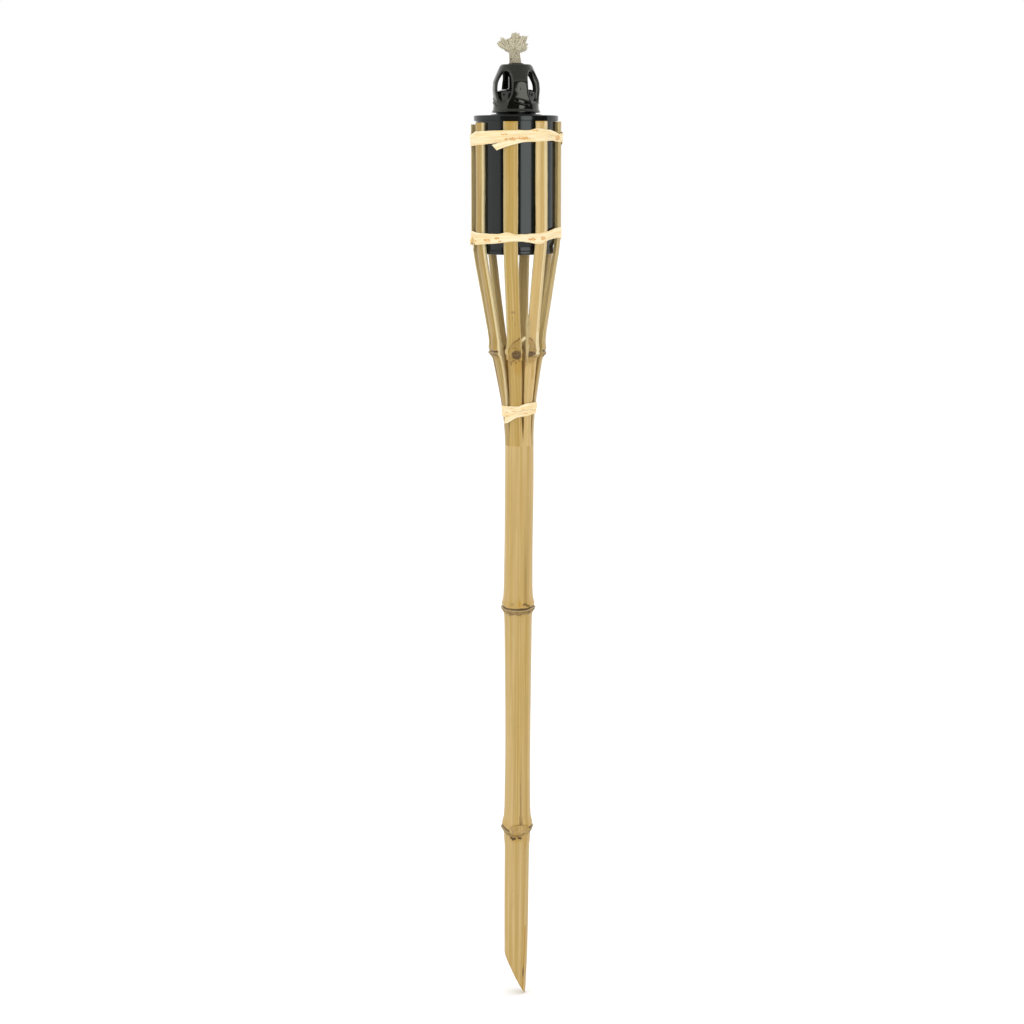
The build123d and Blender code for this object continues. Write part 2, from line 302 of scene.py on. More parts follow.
class Shader:
    """A node material, written from the pattern to the surface."""

    def __init__(self, name, **settings):
        self.material = bpy.data.materials.new(name)
        self.material.use_nodes = True
        self.tree = self.material.node_tree
        self.surface = self.tree.nodes["Principled BSDF"]
        for socket, value in settings.items():
            self.surface.inputs[socket.replace("_", " ")].default_value = value

    def node(self, kind, inputs=(), output=0, **settings):
        return add_node(self.tree, kind, inputs, output, **settings)

    def attribute(self, name, output="Vector"):
        return self.node("Attribute", output=output, attribute_name=name)

    def stretch(self, vector, x, y, z):
        return self.node("VectorMath", {0: vector, 1: (x, y, z)}, operation="MULTIPLY")

    def noise(self, vector, scale=1.0, detail=3.0, rough=0.55, warp=0.0):
        inputs = {"Vector": vector, "Scale": scale, "Detail": detail, "Roughness": rough, "Distortion": warp}
        return self.node("TexNoise", inputs, "Fac")

    def ramp(self, value, start, end, low=0.0, high=1.0):
        inputs = {"Value": value, "From Min": start, "From Max": end, "To Min": low, "To Max": high}
        return self.node("MapRange", inputs, interpolation_type="SMOOTHSTEP")

    def math(self, operation, a, b):
        return self.node("Math", {0: a, 1: b}, operation=operation)

    def mix(self, factor, a, b):
        return self.node("Mix", {"Factor": factor, 6: a, 7: b}, 2, data_type="RGBA")

    def bump(self, height, strength, depth, normal=None):
        inputs = {"Height": height, "Strength": strength, "Distance": depth * MM}
        if normal is not None:
            inputs["Normal"] = normal
        return self.node("Bump", inputs)

    def finish(self, base, rough, normal):
        for socket, value in (("Base Color", base), ("Roughness", rough), ("Normal", normal)):
            if value is not None:
                self.tree.links.new(value, self.surface.inputs[socket])
        return self.material


def bamboo_material(name, ochre, tan, seed):
    """Bamboo: satin skin with long streaks, and pale fibrous wood where it is split or sawn.

    The meshes carry grain, in millimetres across and along the fibres, stains with painted shade and painted
    light, and how far a point is wood.
    """
    s = Shader(name, Specular_IOR_Level=0.45, Coat_Weight=0.12, Coat_Roughness=0.3)
    grain = s.attribute("grain")
    placed = s.node("VectorMath", {0: grain, 1: (seed * 31.7, seed * 11.3, seed * 5.1)}, operation="ADD")
    wide = s.noise(s.stretch(placed, 0.33, 0.33, 0.006), detail=2, rough=0.45)
    medium = s.noise(s.stretch(placed, 1.15, 1.15, 0.012), detail=2)
    fibres = s.noise(s.stretch(placed, 5.2, 5.2, 0.05), detail=3, rough=0.65)
    cloud = s.noise(s.stretch(placed, 0.12, 0.12, 0.045), detail=3, warp=0.6)
    specks = s.noise(s.stretch(placed, 1.7, 1.7, 0.9), detail=1, rough=0.3)
    skin = s.mix(s.ramp(wide, 0.36, 0.66), colour(*ochre), colour(*tan))
    skin = s.mix(s.ramp(medium, 0.50, 0.70, 0, 0.6), skin, colour(218, 192, 138))
    skin = s.mix(s.ramp(medium, 0.48, 0.28, 0, 0.36), skin, colour(170, 138, 72))
    skin = s.mix(s.ramp(cloud, 0.50, 0.74, 0, 0.35), skin, colour(184, 158, 88))
    skin = s.mix(s.ramp(fibres, 0.35, 0.70, 0.0, 0.22), skin, colour(172, 140, 82))
    skin = s.mix(s.ramp(specks, 0.74, 0.80, 0, 0.5), skin, colour(142, 106, 56))
    wood = s.mix(s.ramp(fibres, 0.30, 0.70), colour(220, 200, 144), colour(186, 158, 98))
    wood = s.mix(s.ramp(wide, 0.55, 0.75, 0, 0.4), wood, colour(172, 140, 84))
    base = s.mix(s.attribute("wood", "Fac"), skin, wood)
    stains = s.node("SeparateColor", {0: s.attribute("stains", "Color")}, 0).node
    uneven = s.ramp(s.noise(s.stretch(placed, 1.4, 1.4, 1.4), detail=4, rough=0.7), 0.25, 0.55, 0.55, 1.0)
    # rust first, so that the dark marks and painted shade lie over it, and pale wood and painted light last
    for channel, shade in ((1, (178, 131, 22)), (0, (80, 54, 20)), (2, (232, 216, 170))):
        base = s.mix(s.math("MULTIPLY", stains.outputs[channel], uneven), base, colour(*shade))
    rough = s.ramp(fibres, 0.3, 0.75, 0.34, 0.50)
    rough = s.math("MAXIMUM", rough, s.math("MULTIPLY", s.attribute("wood", "Fac"), 0.72))
    lines = s.bump(fibres, 0.35, 0.06)
    normal = s.bump(medium, 0.3, 0.16, lines)
    return s.finish(base, rough, normal)


def raffia_material():
    """Dry raffia: cream strip with lengthways fibres and a few rust-coloured flecks; on the neck tie the same
    colour paints thin shadow lines between its strands.
    """
    s = Shader("raffia", Specular_IOR_Level=0.3, Roughness=0.62)
    grain = s.attribute("grain")
    fibres = s.noise(s.stretch(grain, 0.05, 2.6, 2.6), detail=4, rough=0.7)
    bands = s.noise(s.stretch(grain, 0.03, 0.8, 0.8), detail=2)
    base = s.mix(s.ramp(bands, 0.38, 0.62), colour(252, 236, 198), colour(243, 216, 160))
    base = s.mix(s.ramp(fibres, 0.50, 0.70, 0, 0.6), base, colour(214, 174, 108))
    # on the neck tie this mask holds painted shadow lines between the strands
    flecks = s.attribute("flecks", "Fac")
    broken = s.ramp(s.noise(s.stretch(grain, 1.2, 2.2, 2.2), detail=3), 0.44, 0.54)
    base = s.mix(s.ramp(s.math("MULTIPLY", flecks, broken), 0.06, 0.5), base, colour(214, 142, 26))
    normal = s.bump(fibres, 0.5, 0.12)
    return s.finish(base, None, normal)


def enamel_material(name, shade, coat, orange_peel, gloss, tint):
    """Gloss black enamel on pressed sheet, with a faint orange peel, fine dust and painted shade: black in its
    slots and holes, for the dark behind them.
    """
    s = Shader(name, Specular_IOR_Level=gloss, Specular_Tint=(*tint, 1), Coat_Weight=coat, Coat_Roughness=0.04)
    place = s.node("TexCoord", output="Object")
    dust = s.noise(place, scale=5200, detail=2)
    patches = s.noise(place, scale=60, detail=3)
    base = s.mix(s.ramp(patches, 0.35, 0.7), colour(*shade), colour(*(v + 4 for v in shade)))
    base = s.mix(s.ramp(dust, 0.70, 0.82, 0, 0.12), base, colour(96, 98, 92))
    # painted shade: black where the mesh marks a slot or hole
    soot = s.attribute("soot", "Fac")
    base = s.mix(soot, base, colour(2, 2, 2))
    rough = s.math("MAXIMUM", s.ramp(patches, 0.3, 0.75, 0.09, 0.16), s.math("MULTIPLY", soot, 0.9))
    peel = s.noise(place, scale=900, detail=1, rough=0.3)
    normal = s.bump(peel, orange_peel, 0.02)
    return s.finish(base, rough, normal)


def tinplate_material():
    """Tinplate with faint turning marks and a little tarnish, lacquered black where it is painted."""
    s = Shader("tinplate", Metallic=1.0)
    place = s.node("TexCoord", output="Object")
    marks = s.noise(s.stretch(place, 300, 300, 9000), detail=2)
    tarnish = s.noise(place, scale=260, detail=4)
    base = s.mix(s.ramp(tarnish, 0.4, 0.7), colour(186, 187, 184), colour(140, 138, 130))
    base = s.mix(s.attribute("paint", "Fac"), base, colour(28, 29, 28))
    rough = s.ramp(tarnish, 0.3, 0.8, 0.26, 0.48)
    return s.finish(base, rough, s.bump(marks, 0.2, 0.02))


def rubber_material():
    """Matte black rubber with a fine moulded grain."""
    s = Shader("gasket_rubber", Specular_IOR_Level=0.4)
    place = s.node("TexCoord", output="Object")
    speckle = s.noise(place, scale=3800, detail=3)
    base = s.mix(s.ramp(speckle, 0.4, 0.7), colour(26, 26, 26), colour(44, 43, 41))
    rough = s.ramp(speckle, 0.3, 0.7, 0.62, 0.85)
    return s.finish(base, rough, s.bump(speckle, 0.4, 0.03))


def cotton_material():
    """Undyed cotton yarn, greyish, with painted shade where the mesh marks its hollows."""
    s = Shader("wick_cotton", Specular_IOR_Level=0.15, Roughness=0.92, Sheen_Weight=0.25)
    grain = s.attribute("grain")
    fibres = s.noise(s.stretch(grain, 1.6, 1.6, 0.45), detail=1, rough=0.5)
    tone = s.noise(s.stretch(grain, 0.35, 0.35, 0.35), detail=2)
    base = s.mix(s.ramp(tone, 0.35, 0.68), colour(206, 199, 174), colour(192, 183, 157))
    base = s.mix(s.ramp(fibres, 0.50, 0.80, 0, 0.18), base, colour(168, 158, 130))
    hollow = s.attribute("hollow", "Fac")
    # painted shade: darker where the mesh's hollow value is high
    base = s.mix(s.math("MULTIPLY", hollow, 0.85), base, colour(104, 92, 68))
    return s.finish(base, None, s.bump(fibres, 0.15, 0.05))


bamboo = bamboo_material("bamboo_skin", (188, 155, 82), (199, 169, 108), 1)
golden_bamboo = bamboo_material("bamboo_golden", (181, 147, 68), (188, 156, 82), 2)
pale_bamboo = bamboo_material("bamboo_pale", (206, 173, 106), (214, 184, 124), 3)
olive_bamboo = bamboo_material("bamboo_olive", (174, 147, 84), (184, 158, 96), 4)
# painted shade: a darker copy of the skin for slat 8, where the key light falls strongly
shade_darkened_bamboo = bamboo_material("bamboo_shade_darkened", (161, 130, 56), (170, 140, 70), 5)
raffia = raffia_material()
can_enamel = enamel_material("black_enamel", (17, 18, 17), 0.0, 0.05, 0.45, (0.92, 1.0, 0.985))
burner_enamel = enamel_material("burner_enamel", (17, 18, 14), 0.1, 0.10, 0.55, (0.97, 1.0, 0.87))
tinplate = tinplate_material()
rubber = rubber_material()
cotton = cotton_material()

# ---------------------------------------------------------------------------
# Wick
# ---------------------------------------------------------------------------
WICK_R = 3.5
WICK_LOW_Z = low("wick")
CAP_LIP_Z = high("burner_cap")
FRAY_Z = high("wick") - 10.9
CARRIERS = 11                 # strands that run each way round the braid
BRAID_PITCH = 2.5
WICK_SEEN_Z = 478             # above this the braid is modelled finely, because it shows

wick_lean = Curve((WICK_LOW_Z, 0), (482, 0), (CAP_LIP_Z, -0.4), (FRAY_Z, -1.1), (FRAY_Z + 3, -1.5))
wick_waist = Curve((WICK_LOW_Z, 0), (CAP_LIP_Z, 0.0), (FRAY_Z - 1.5, -0.45), (FRAY_Z + 1.2, -0.35))


def make_wick():
    """The braided cord, from the floor of the can up to where it frays."""
    wick = Shape()
    hidden, seen = np.arange(WICK_LOW_Z, WICK_SEEN_Z, 1.2), np.arange(WICK_SEEN_Z, FRAY_Z + 1.2, 0.2)
    z = np.concatenate([hidden, seen])[:, None]
    turn = np.linspace(0, 2 * math.pi, 156, endpoint=False)[None, :]
    one_way = turn * CARRIERS / (2 * math.pi) + z / BRAID_PITCH
    other_way = turn * CARRIERS / (2 * math.pi) - z / BRAID_PITCH
    crossing = np.sin(math.pi * one_way) * np.sin(math.pi * other_way)

    def strand(place):
        return np.sqrt(np.clip(1 - (2 * (place % 1) - 1) ** 2, 0, 1))

    relief = np.maximum(0.34 * strand(one_way) + 0.2 * crossing, 0.34 * strand(other_way) - 0.2 * crossing)
    loose = step(z, FRAY_Z - 3, FRAY_Z + 1)
    radius = WICK_R - 0.35 + relief + 0.2 * loose + wick_waist(z)
    radius = radius + 0.12 * wobble_round(turn, 2, z * 0.3, 50)
    speck = spot(turn * WICK_R, z, (2 * math.pi * WICK_R - 2.9, FRAY_Z - 4.2), 1.5, 1.7, 0.3)
    x = wick_lean(z) + radius * np.sin(turn)
    y = -radius * np.cos(turn)
    points = stacked(x, y, z)
    grain = stacked(one_way * 2, other_way * 2, z)
    # painted shade in the hollows between the braid's strands; a dark speck; and the hollow value is at least
    # 0.4 all over the braid
    hollow = np.maximum(np.maximum(1 - step(relief, 0.06, 0.26), speck), 0.4)
    wick.tube(points, grain=grain, hollow=hollow)
    piece = wick.make("wick_cord", cotton, "wick", "wick_cotton", "wick", sharp=70)
    heights = np.linspace(WICK_LOW_Z, FRAY_Z + 1.0, 40)
    path = [(float(wick_lean(h)) * MM, 0, h * MM) for h in heights]


def yarn(shape, points, radius, sides, seed):
    """A tapering yarn along points, with its length as its grain."""
    run = np.gradient(points, axis=0)
    run /= np.linalg.norm(run, axis=1)[:, None]
    side = np.cross(run, [0.31, 0.87, 0.12])
    side /= np.linalg.norm(side, axis=1)[:, None]
    other = np.cross(run, side)
    angle = np.linspace(0, 2 * math.pi, sides, endpoint=False)
    twist = np.linspace(0, 9, len(points))[:, None] + angle[None, :]
    size = radius[:, None, None] * (1 + 0.1 * np.cos(2 * angle))[None, :, None]
    rings = points[:, None] + side[:, None] * np.cos(twist)[..., None] * size
    rings = rings + other[:, None] * np.sin(twist)[..., None] * size
    own = np.arange(len(points)) * 0.5
    grain = stacked(np.cos(angle)[None, :] + seed, np.sin(angle)[None, :], own[:, None])
    # painted shade: each yarn is darker towards its root, inside the tuft
    shape.tube(rings, grain=grain, hollow=np.linspace(0.15, 0, len(points))[:, None] * np.ones(sides))


# where each tuft's tips lie to the right and above the fraying, its yarns, their bow and place in depth
TUFTS = [
    ((-11.2, -7.4), (4.6, 9.2), 18, 0.3, 0.2),
    ((-6.8, -3.2), (7.2, 8.0), 12, 0.5, -1.2),
    ((-2.1, 1.3), (11.0, 11.3), 14, 0.4, 0.3),
    ((2.2, 6.8), (9.4, 9.2), 14, 0.7, -0.4),
    ((3.6, 6.6), (4.0, 2.2), 10, 1.6, 0.8),
    ((3.6, 6.9), (6.4, 4.6), 9, 1.2, -1.4),
]
HEART_YARNS = 6               # fat yarns that fill the heart of each tuft
HEART_SIZE = 1.7              # how much thicker they are than the others
LOOSE_FIBRES = 3              # that stand out of each yarn


def make_fray():
    """The wick's unravelled top: six tufts of yarn, each opening into loose fibres."""
    fray = Shape()
    rng = random.Random(7)
    base_x = float(wick_lean(FRAY_Z))
    for (tip_left, tip_right), (up_left, up_right), count, bow_out, back in TUFTS:
        for i in range(count):
            share = rng.random()
            angle = rng.uniform(0, 2 * math.pi)
            out = WICK_R * 0.5 * math.sqrt(rng.random())
            tip_x = tip_left + (tip_right - tip_left) * share
            tip_up = up_left + (up_right - up_left) * share
            pull = max(-1.0, min(1.0, tip_x / 6))
            # the roots stay close together, so that they clear the cap's lip when the wick is drawn down
            root_x = base_x + out * math.sin(angle) * 0.7 + pull * 0.7
            start = np.array([root_x, -out * math.cos(angle), FRAY_Z - 0.2])
            drop = 0.5 * abs(rng.gauss(0, 1))
            tip = np.array([tip_x + rng.gauss(0, 0.3), back + rng.gauss(0, 1.1), FRAY_Z + tip_up - drop])
            side = np.array([pull * bow_out, 0, bow_out * 0.4])
            middle = (start + tip) / 2 + side + np.array([rng.gauss(0, 0.2), rng.gauss(0, 0.3), 0.2])

            def along_yarn(t):
                return start * (1 - t) ** 2 + 2 * middle * t * (1 - t) + tip * t**2

            run = np.linspace(0, 1, 19)
            t = run[:, None]
            line = along_yarn(t)
            wave = 0.12 * np.sin(t * rng.uniform(5, 11) + rng.uniform(0, 6))
            line = line + wave * np.array([0.7, 0.6, 0.2])
            thick = rng.uniform(0.62, 0.86) * (1 - 0.45 * run**6) * (0.7 + 0.3 * np.minimum(run * 5, 1))
            if i < HEART_YARNS:
                thick = thick * HEART_SIZE
                line = line * 0.94 + (start * 0.06 + np.array([0, 0.5, 0]))
            yarn(fray, line, thick, 10, seed=rng.random() * 30)
            for _ in range(LOOSE_FIBRES):
                bend = np.array([rng.gauss(0, 0.4), rng.gauss(0, 0.4), rng.uniform(0.0, 0.6)])
                split_t = rng.uniform(0.6, 0.9)
                root = along_yarn(split_t)
                own = np.linspace(0, 1, 8)
                s = own[:, None]
                fibre = root * (1 - s) + (tip + bend) * s + 0.25 * np.sin(s * math.pi) * bend[[1, 2, 0]]
                yarn(fray, fibre, 0.15 * (1 - 0.6 * own), 4, seed=rng.random() * 30)
    fray.make("wick_fray", cotton, "wick", "wick_cotton", sharp=80)


make_wick()
make_fray()

# ---------------------------------------------------------------------------
# Bamboo culm
# ---------------------------------------------------------------------------
CULM_R = 8.8
CULM_WALL = 1.8
LOW_NODE_Z = 19.5
MID_NODE_Z = 160.9
SPLIT_NODE_Z = 321.7
TIP_Z = low("bamboo_pole")
ROOT_Z = high("bamboo_pole")
TIP_R = 6.5
CUT_AZIMUTH = 82.0
CUT_SLOPE = 2.02
CAVITY_R = CULM_R - CULM_WALL
CUT_CAVITY_R = CAVITY_R - 1.2  # the culm is narrower at its cut end
NODE_REACH = 12               # how far a node's swelling reaches above and below its ring
MARK_REACH = 64               # how far its groove and scars do

culm_radius = Curve(
    (TIP_Z, TIP_R), (-66, 7.25), (-40, 7.55), (5, 7.75),
    (LOW_NODE_Z - 7, 8.15), (LOW_NODE_Z + 8, 8.15), (67, 7.85),
    (MID_NODE_Z - 12, 8.5), (MID_NODE_Z + 10, 8.85), (200, 8.65), (244, CULM_R), (ROOT_Z, CULM_R),
)
# how far a node stands proud of its culm, by height above its dark ring
node_relief = Curve(
    (-12, 0), (-5.5, 0.15), (-3.9, 0.45), (-2.7, 1.15), (-1.6, 1.75), (-0.9, 1.8), (-0.35, 1.1),
    (0.0, 0.85), (0.45, 1.15), (1.4, 1.35), (3.0, 0.95), (6.0, 0.35), (12, 0),
)
# how each node's ring rises and falls round the culm, by azimuth
mid_sag = Curve(
    (-180, 0.2), (-90, 0.7), (-60, 0.15), (-45, -0.35), (0, -0.3), (32, -0.25), (50, 0.4), (90, 0.9),
    (180, 0.2),
)
low_sag = Curve(
    (-180, 0.5), (-90, 0.9), (-60, 0.1), (-38, -1.3), (0, -1.6), (40, -0.4), (60, 0.3), (90, 1.3), (180, 0.5),
)
split_sag = Curve((-180, 0.3), (0, -0.2), (180, 0.3))
# the culm isn't quite straight: how far its middle stands to the right
bow = Curve(
    (TIP_Z, -0.35), (-60, 0.15), (-20, 0.5), (LOW_NODE_Z, 0.9), (86, 1.3), (MID_NODE_Z, 1.4), (255, 2.1),
    (320, 0.9), (372, 0),
)


def bent(points):
    """Points moved sideways by the culm's bow."""
    points = np.array(points, float)
    points[..., 0] += bow(points[..., 2])
    return points


def node_surface(across, up, azimuth, seed, sag):
    """Relief and stains of a node's ring on an unrolled surface, as (relief, dark, rust, pale)."""
    turn = np.radians(azimuth)
    tilt = 0.15 * wobble_round(turn, 1.2, 0, seed)
    tilt = tilt + sag(away_from(azimuth)) + 0.12 * wobble(across * 0.8, 0, 0, seed + 9)
    height = up - tilt
    relief = node_relief(height)
    scar = spot(across * 0, height, (0, -2.4), 1, 5.0, 0.6)
    lumps = wobble(across * 0.55, height * 0.75, 0, seed + 2)
    relief = relief + scar * (0.4 * lumps + 0.34 * wobble(across * 1.9, height * 1.9, 0, seed + 3))
    ring_width = 0.42 + 0.2 * wobble(across * 0.4, 0, 0, seed + 4)
    ring = 1 - step(np.abs(height - 0.05), ring_width, ring_width + 0.5)
    dark = ring * (1.05 + 0.3 * wobble(across * 0.3, 0, 5, seed))
    lower_edge = -3.4 + 0.9 * wobble(across * 0.45, 0, 0, seed + 5)
    skirt = step(height, lower_edge - 0.5, lower_edge + 0.4) * (1 - step(height, -0.9, -0.3))
    mottle = np.maximum(wobble(across * 1.3, height * 1.6, 0, seed + 7), 0)
    dark = np.maximum(dark, skirt * (0.5 + 0.55 * mottle + 0.3 * np.maximum(lumps, 0)))
    rim = np.exp(-((height - lower_edge) / 0.45) ** 2) * step(wobble(across * 0.5, 3, 0, seed), 0, 0.3)
    rust = np.clip(rim * 0.6 + skirt * 0.25, 0, 1)
    pale = np.exp(-((height + 0.75) / 0.35) ** 2) * 0.3
    above = step(height, 0.2, 1.2) * (1 - step(height, 2.0, 7.0))
    rust = np.maximum(rust, 0.2 * above)
    return relief, np.clip(dark, 0, 1), rust, pale


def culm_relief(azimuth, z):
    """Slight unevenness of the culm all round, shared by the pole and its splits."""
    turn = np.radians(azimuth)
    broad = 0.14 * wobble_round(turn, 1.4, z * 0.012)
    ribs = 0.035 * wobble_round(turn, 9, z * 0.012, 2)
    return broad + ribs


def mid_node_marks(across, up):
    """Bud scar, groove and streaks at the middle node, as (relief, dark, rust)."""
    groove = stroke(across, up, [(5.0, 2.0), (5.2, 18), (5.3, 60)], 1.3, 1.5)
    groove = groove * (1 - step(up, 6, 62)) * step(up, 0.5, 2)
    bud = stroke(across, up, [(3.2, 2.6), (4.2, 3.1), (5.2, 2.2), (6.6, 1.6)], 0.5, 0.5)
    bud = np.maximum(bud, spot(across, up, (5.4, 1.9), 1.6, 1.2))
    streak = stroke(across, up, [(0.9, 2.0), (0.8, 8.0)], 0.5, 0.7) * (1 - step(up, 3, 9))
    smudge = spot(across, up, (-3.4, 3.0), 2.4, 2.0, 0.8)
    crumbs = spot(across, up, (1.2, -4.1), 1.6, 0.7) + spot(across, up, (-5.4, -4.4), 2.0, 0.7)
    line = stroke(across, up, [(5.0, 2.4), (5.1, 18), (5.2, 52)], 0.3, 0.35) * (1 - step(up, 20, 50))
    relief = -0.5 * groove - 0.1 * bud
    dark = np.maximum.reduce([0.12 * groove, 0.42 * line, 0.9 * bud, 0.28 * smudge, 0.5 * crumbs])
    rust = np.maximum.reduce([0.75 * streak, 0.8 * spot(across, up, (5.4, -3.0), 2.6, 0.8), 0.1 * groove])
    return relief, dark, rust


def low_node_marks(across, up):
    """Bud scar with its fibrous panel, holes and leaf-shaped mark, as (relief, dark, rust, the panel)."""
    middle, half = 1.6, 6.6
    arch_height = -0.6 + 3.4 * np.sqrt(np.clip(1 - ((across - middle) / half) ** 2, 0, 1))
    between = np.abs(across - middle) < half
    inside = between * step(up, -4.7, -4.2) * (1 - step(up, arch_height - 0.3, arch_height))
    arch = np.exp(-((up - arch_height) / 0.38) ** 2) * between * (up > -0.9)
    arch = arch * (0.55 + 0.45 * spot(across, up, (1.6, 2.6), 3.2, 2.0, 0.8))
    foot = stroke(across, up, [(-4.6, -3.6), (-1.4, -4.3), (2.4, -4.2), (4.6, -2.8)], 0.5, 0.5)
    holes = np.maximum.reduce([
        stroke(across, up, [(-4.0, -5.8), (-2.8, -6.5), (-1.6, -6.1)], 1.3, 0.3),
        stroke(across, up, [(-3.1, -7.2), (-2.2, -6.8)], 0.6, 0.3),
        stroke(across, up, [(1.1, -5.7), (2.5, -6.0)], 1.2, 0.3),
    ])
    leaf = stroke(across, up, [(4.6, -5.0), (5.2, -9.0), (6.1, -13.4), (7.0, -9.0), (7.4, -4.6)], 0.3, 0.4)
    groove = stroke(across, up, [(2.5, 2.8), (2.4, 12), (2.3, 60)], 0.4, 0.7) * (1 - step(up, 8, 56))
    groove_root = stroke(across, up, [(2.5, 3.0), (2.4, 8)], 1.0, 1.2)
    groove = np.maximum(groove, groove_root * step(up, 2.2, 3.2) * (1 - step(up, 6, 13)))
    fibres = wobble(across * 1.9, up * 0.5, 0, 21)
    stain = spot(across, up, (0.0, -6.4), 10.0, 4.6, 0.6)
    relief = inside * (0.1 + 0.3 * fibres) * step(up, -4.6, -3.6)
    relief = relief - 0.4 * groove - 0.45 * holes - 0.15 * leaf - 0.15 * foot
    dark = np.maximum.reduce([
        0.8 * arch, holes, 0.6 * foot, 0.42 * groove, 0.6 * groove * (1 - step(up, 3, 9)),
        0.14 * inside + 0.22 * inside * (fibres > 0.25),
    ])
    rust = np.maximum.reduce([
        0.5 * foot, 0.5 * leaf, 0.45 * groove * (1 - step(up, 4, 14)), 0.3 * arch, 0.16 * inside, 0.4 * stain,
    ])
    return relief, dark, rust, inside


def stains(dark, rust, pale):
    """Three stain masks as one colour per point; the dark one also carries painted shade and the pale one
    painted light.
    """
    layers = np.broadcast_arrays(dark, rust, pale, 1.0)
    return np.clip(np.stack(layers, -1), 0, 1)


def make_pole():
    """The culm from its slanted cut up to the root of the splits, hollow inside."""
    columns = 168
    azimuth = np.arange(columns) * 360 / columns
    cut_lean = np.cos(np.radians(azimuth - CUT_AZIMUTH))
    cut = TIP_Z + CUT_SLOPE * (TIP_R + 0.2 - culm_radius(TIP_Z + 10) * cut_lean)
    cut = cut + 0.18 * wobble(azimuth * 0.35, 0, 0, 8) * step(cut, TIP_Z, TIP_Z + 4)
    heights = np.concatenate([
        np.arange(-54, LOW_NODE_Z - NODE_REACH, 1.2),
        np.arange(LOW_NODE_Z - NODE_REACH, LOW_NODE_Z + NODE_REACH, 0.28),
        np.arange(LOW_NODE_Z + NODE_REACH, MID_NODE_Z - NODE_REACH, 1.2),
        np.arange(MID_NODE_Z - NODE_REACH, MID_NODE_Z + NODE_REACH, 0.28),
        np.arange(MID_NODE_Z + NODE_REACH, ROOT_Z, 1.2),
        [ROOT_Z],
    ])
    share = np.linspace(0, 1, 60)[:, None]
    tip_rows = cut[None, :] + (heights[0] - 1.2 - cut[None, :]) * share
    z = np.vstack([tip_rows, np.repeat(heights[:, None], columns, 1)])
    around = np.broadcast_to(azimuth[None, :], z.shape)
    across = np.radians(away_from(around)) * CULM_R
    radius = culm_radius(z) + culm_relief(around, z)
    dark, rust, pale = np.zeros(z.shape), np.zeros(z.shape), np.zeros(z.shape)
    nodes = [(MID_NODE_Z, mid_node_marks, 1, mid_sag), (LOW_NODE_Z, low_node_marks, 6, low_sag)]
    for node_z, marks, seed, sag in nodes:
        rows = np.abs(z[:, 0] - node_z) < MARK_REACH
        up = z[rows] - node_z
        relief, ring_dark, ring_rust, ring_pale = node_surface(across[rows], up, around[rows], seed, sag)
        mark_relief, mark_dark, mark_rust, *inside = marks(across[rows], up)
        kept = 1 - inside[0] if inside else 1.0
        near = np.abs(up) < NODE_REACH
        smooth = node_relief(np.abs(up) * 0.4 - 1.2) * 0.75
        radius[rows] += (relief * kept + smooth * (1 - kept)) * near + mark_relief
        dark[rows] = np.maximum(dark[rows], np.maximum(ring_dark * near * kept, mark_dark))
        rust[rows] = np.maximum(rust[rows], np.maximum(ring_rust * near * kept, mark_rust))
        pale[rows] = np.maximum(pale[rows], ring_pale * near * kept)
    stake_streak = stroke(across, z, [(7.6, -46), (7.0, -70), (6.7, -88)], 0.75, 0.5)
    rust = np.maximum(rust, stake_streak * (1.3 + 0.9 * wobble(z * 0.2, 0, 0, 30)))
    dark = np.maximum(dark, spot(across, z, (6.6, -76), 1.5, 7, 0.6) * 0.9)
    above_cut = z - cut[None, :]
    frayed = (1 - step(above_cut, 0.3, 1.4)) * step(wobble(around * 0.7, z * 0.4, 0, 31), -0.1, 0.3)
    dark = np.maximum(dark, 0.45 * frayed * (z < -50))
    pole = Shape()
    grain = np.stack([across, np.zeros(z.shape), z], -1)
    outer = bent(polar(radius, around, z))
    pole.rings(outer, grain=grain, stains=stains(dark, rust, pale), wood=np.zeros(z.shape))

    def hollow(start, inner_r, rim, floor_z):
        """The wall's cut edge, whose thickness shows, and the cavity behind it down to a closed floor."""
        cavity_z = np.linspace(0, 1, 12)[:, None] * (floor_z - start) + start
        ring_azimuth = np.broadcast_to(azimuth, cavity_z.shape)
        wall = inner_r + 0.12 * wobble(ring_azimuth * 0.2, cavity_z * 0.05, 0, 12)
        rows = np.concatenate([rim[None], bent(polar(wall, ring_azimuth, cavity_z))])
        # painted shade: the cavity's wall darkens deeper in
        shade = 0.25 * step(np.arange(len(rows))[:, None], 2, 9) * np.ones(columns)
        first = pole.rings(rows, grain=rows, wood=np.ones(rows.shape[:2]), stains=stains(shade, 0, 0))
        last = first + (len(rows) - 1) * columns
        pole.faces.append(list(range(last, last + columns)))

    inner_cut = TIP_Z + CUT_SLOPE * (TIP_R + 0.2 - CUT_CAVITY_R * cut_lean)
    hollow(inner_cut, CUT_CAVITY_R, outer[0], LOW_NODE_Z - 2)
    hollow(np.full(columns, ROOT_Z), CAVITY_R, outer[-1], MID_NODE_Z + 2)
    pole.make("bamboo_culm", bamboo, "basket", "bamboo", "bamboo_pole")


make_pole()

# ---------------------------------------------------------------------------
# Slats
# ---------------------------------------------------------------------------
SPREAD = 18.4
SPREAD_SLOPE = 0.17
LOW_BEND = (262.2, 294.8)     # where each slat starts and stops curving outwards
HIGH_BEND = (377.9, 395.8)    # and where it turns upright again
CRACKS = [-45.0, 15.0, 54.0, 100.0, 146.0, 189.0, 232.0, 276.0, 315.0]
# azimuth of each slat, and its left and right edges round the can, from its middle
SLATS = [
    (-7.0, 5.2, 4.5), (35.0, 4.4, 4.5), (82.0, 4.7, 3.9), (126.0, 3.3, 3.3),
    (168.0, 3.5, 3.5), (216.0, 2.9, 2.9), (262.0, 3.5, 3.5), (303.0, 3.9, 4.7),
]
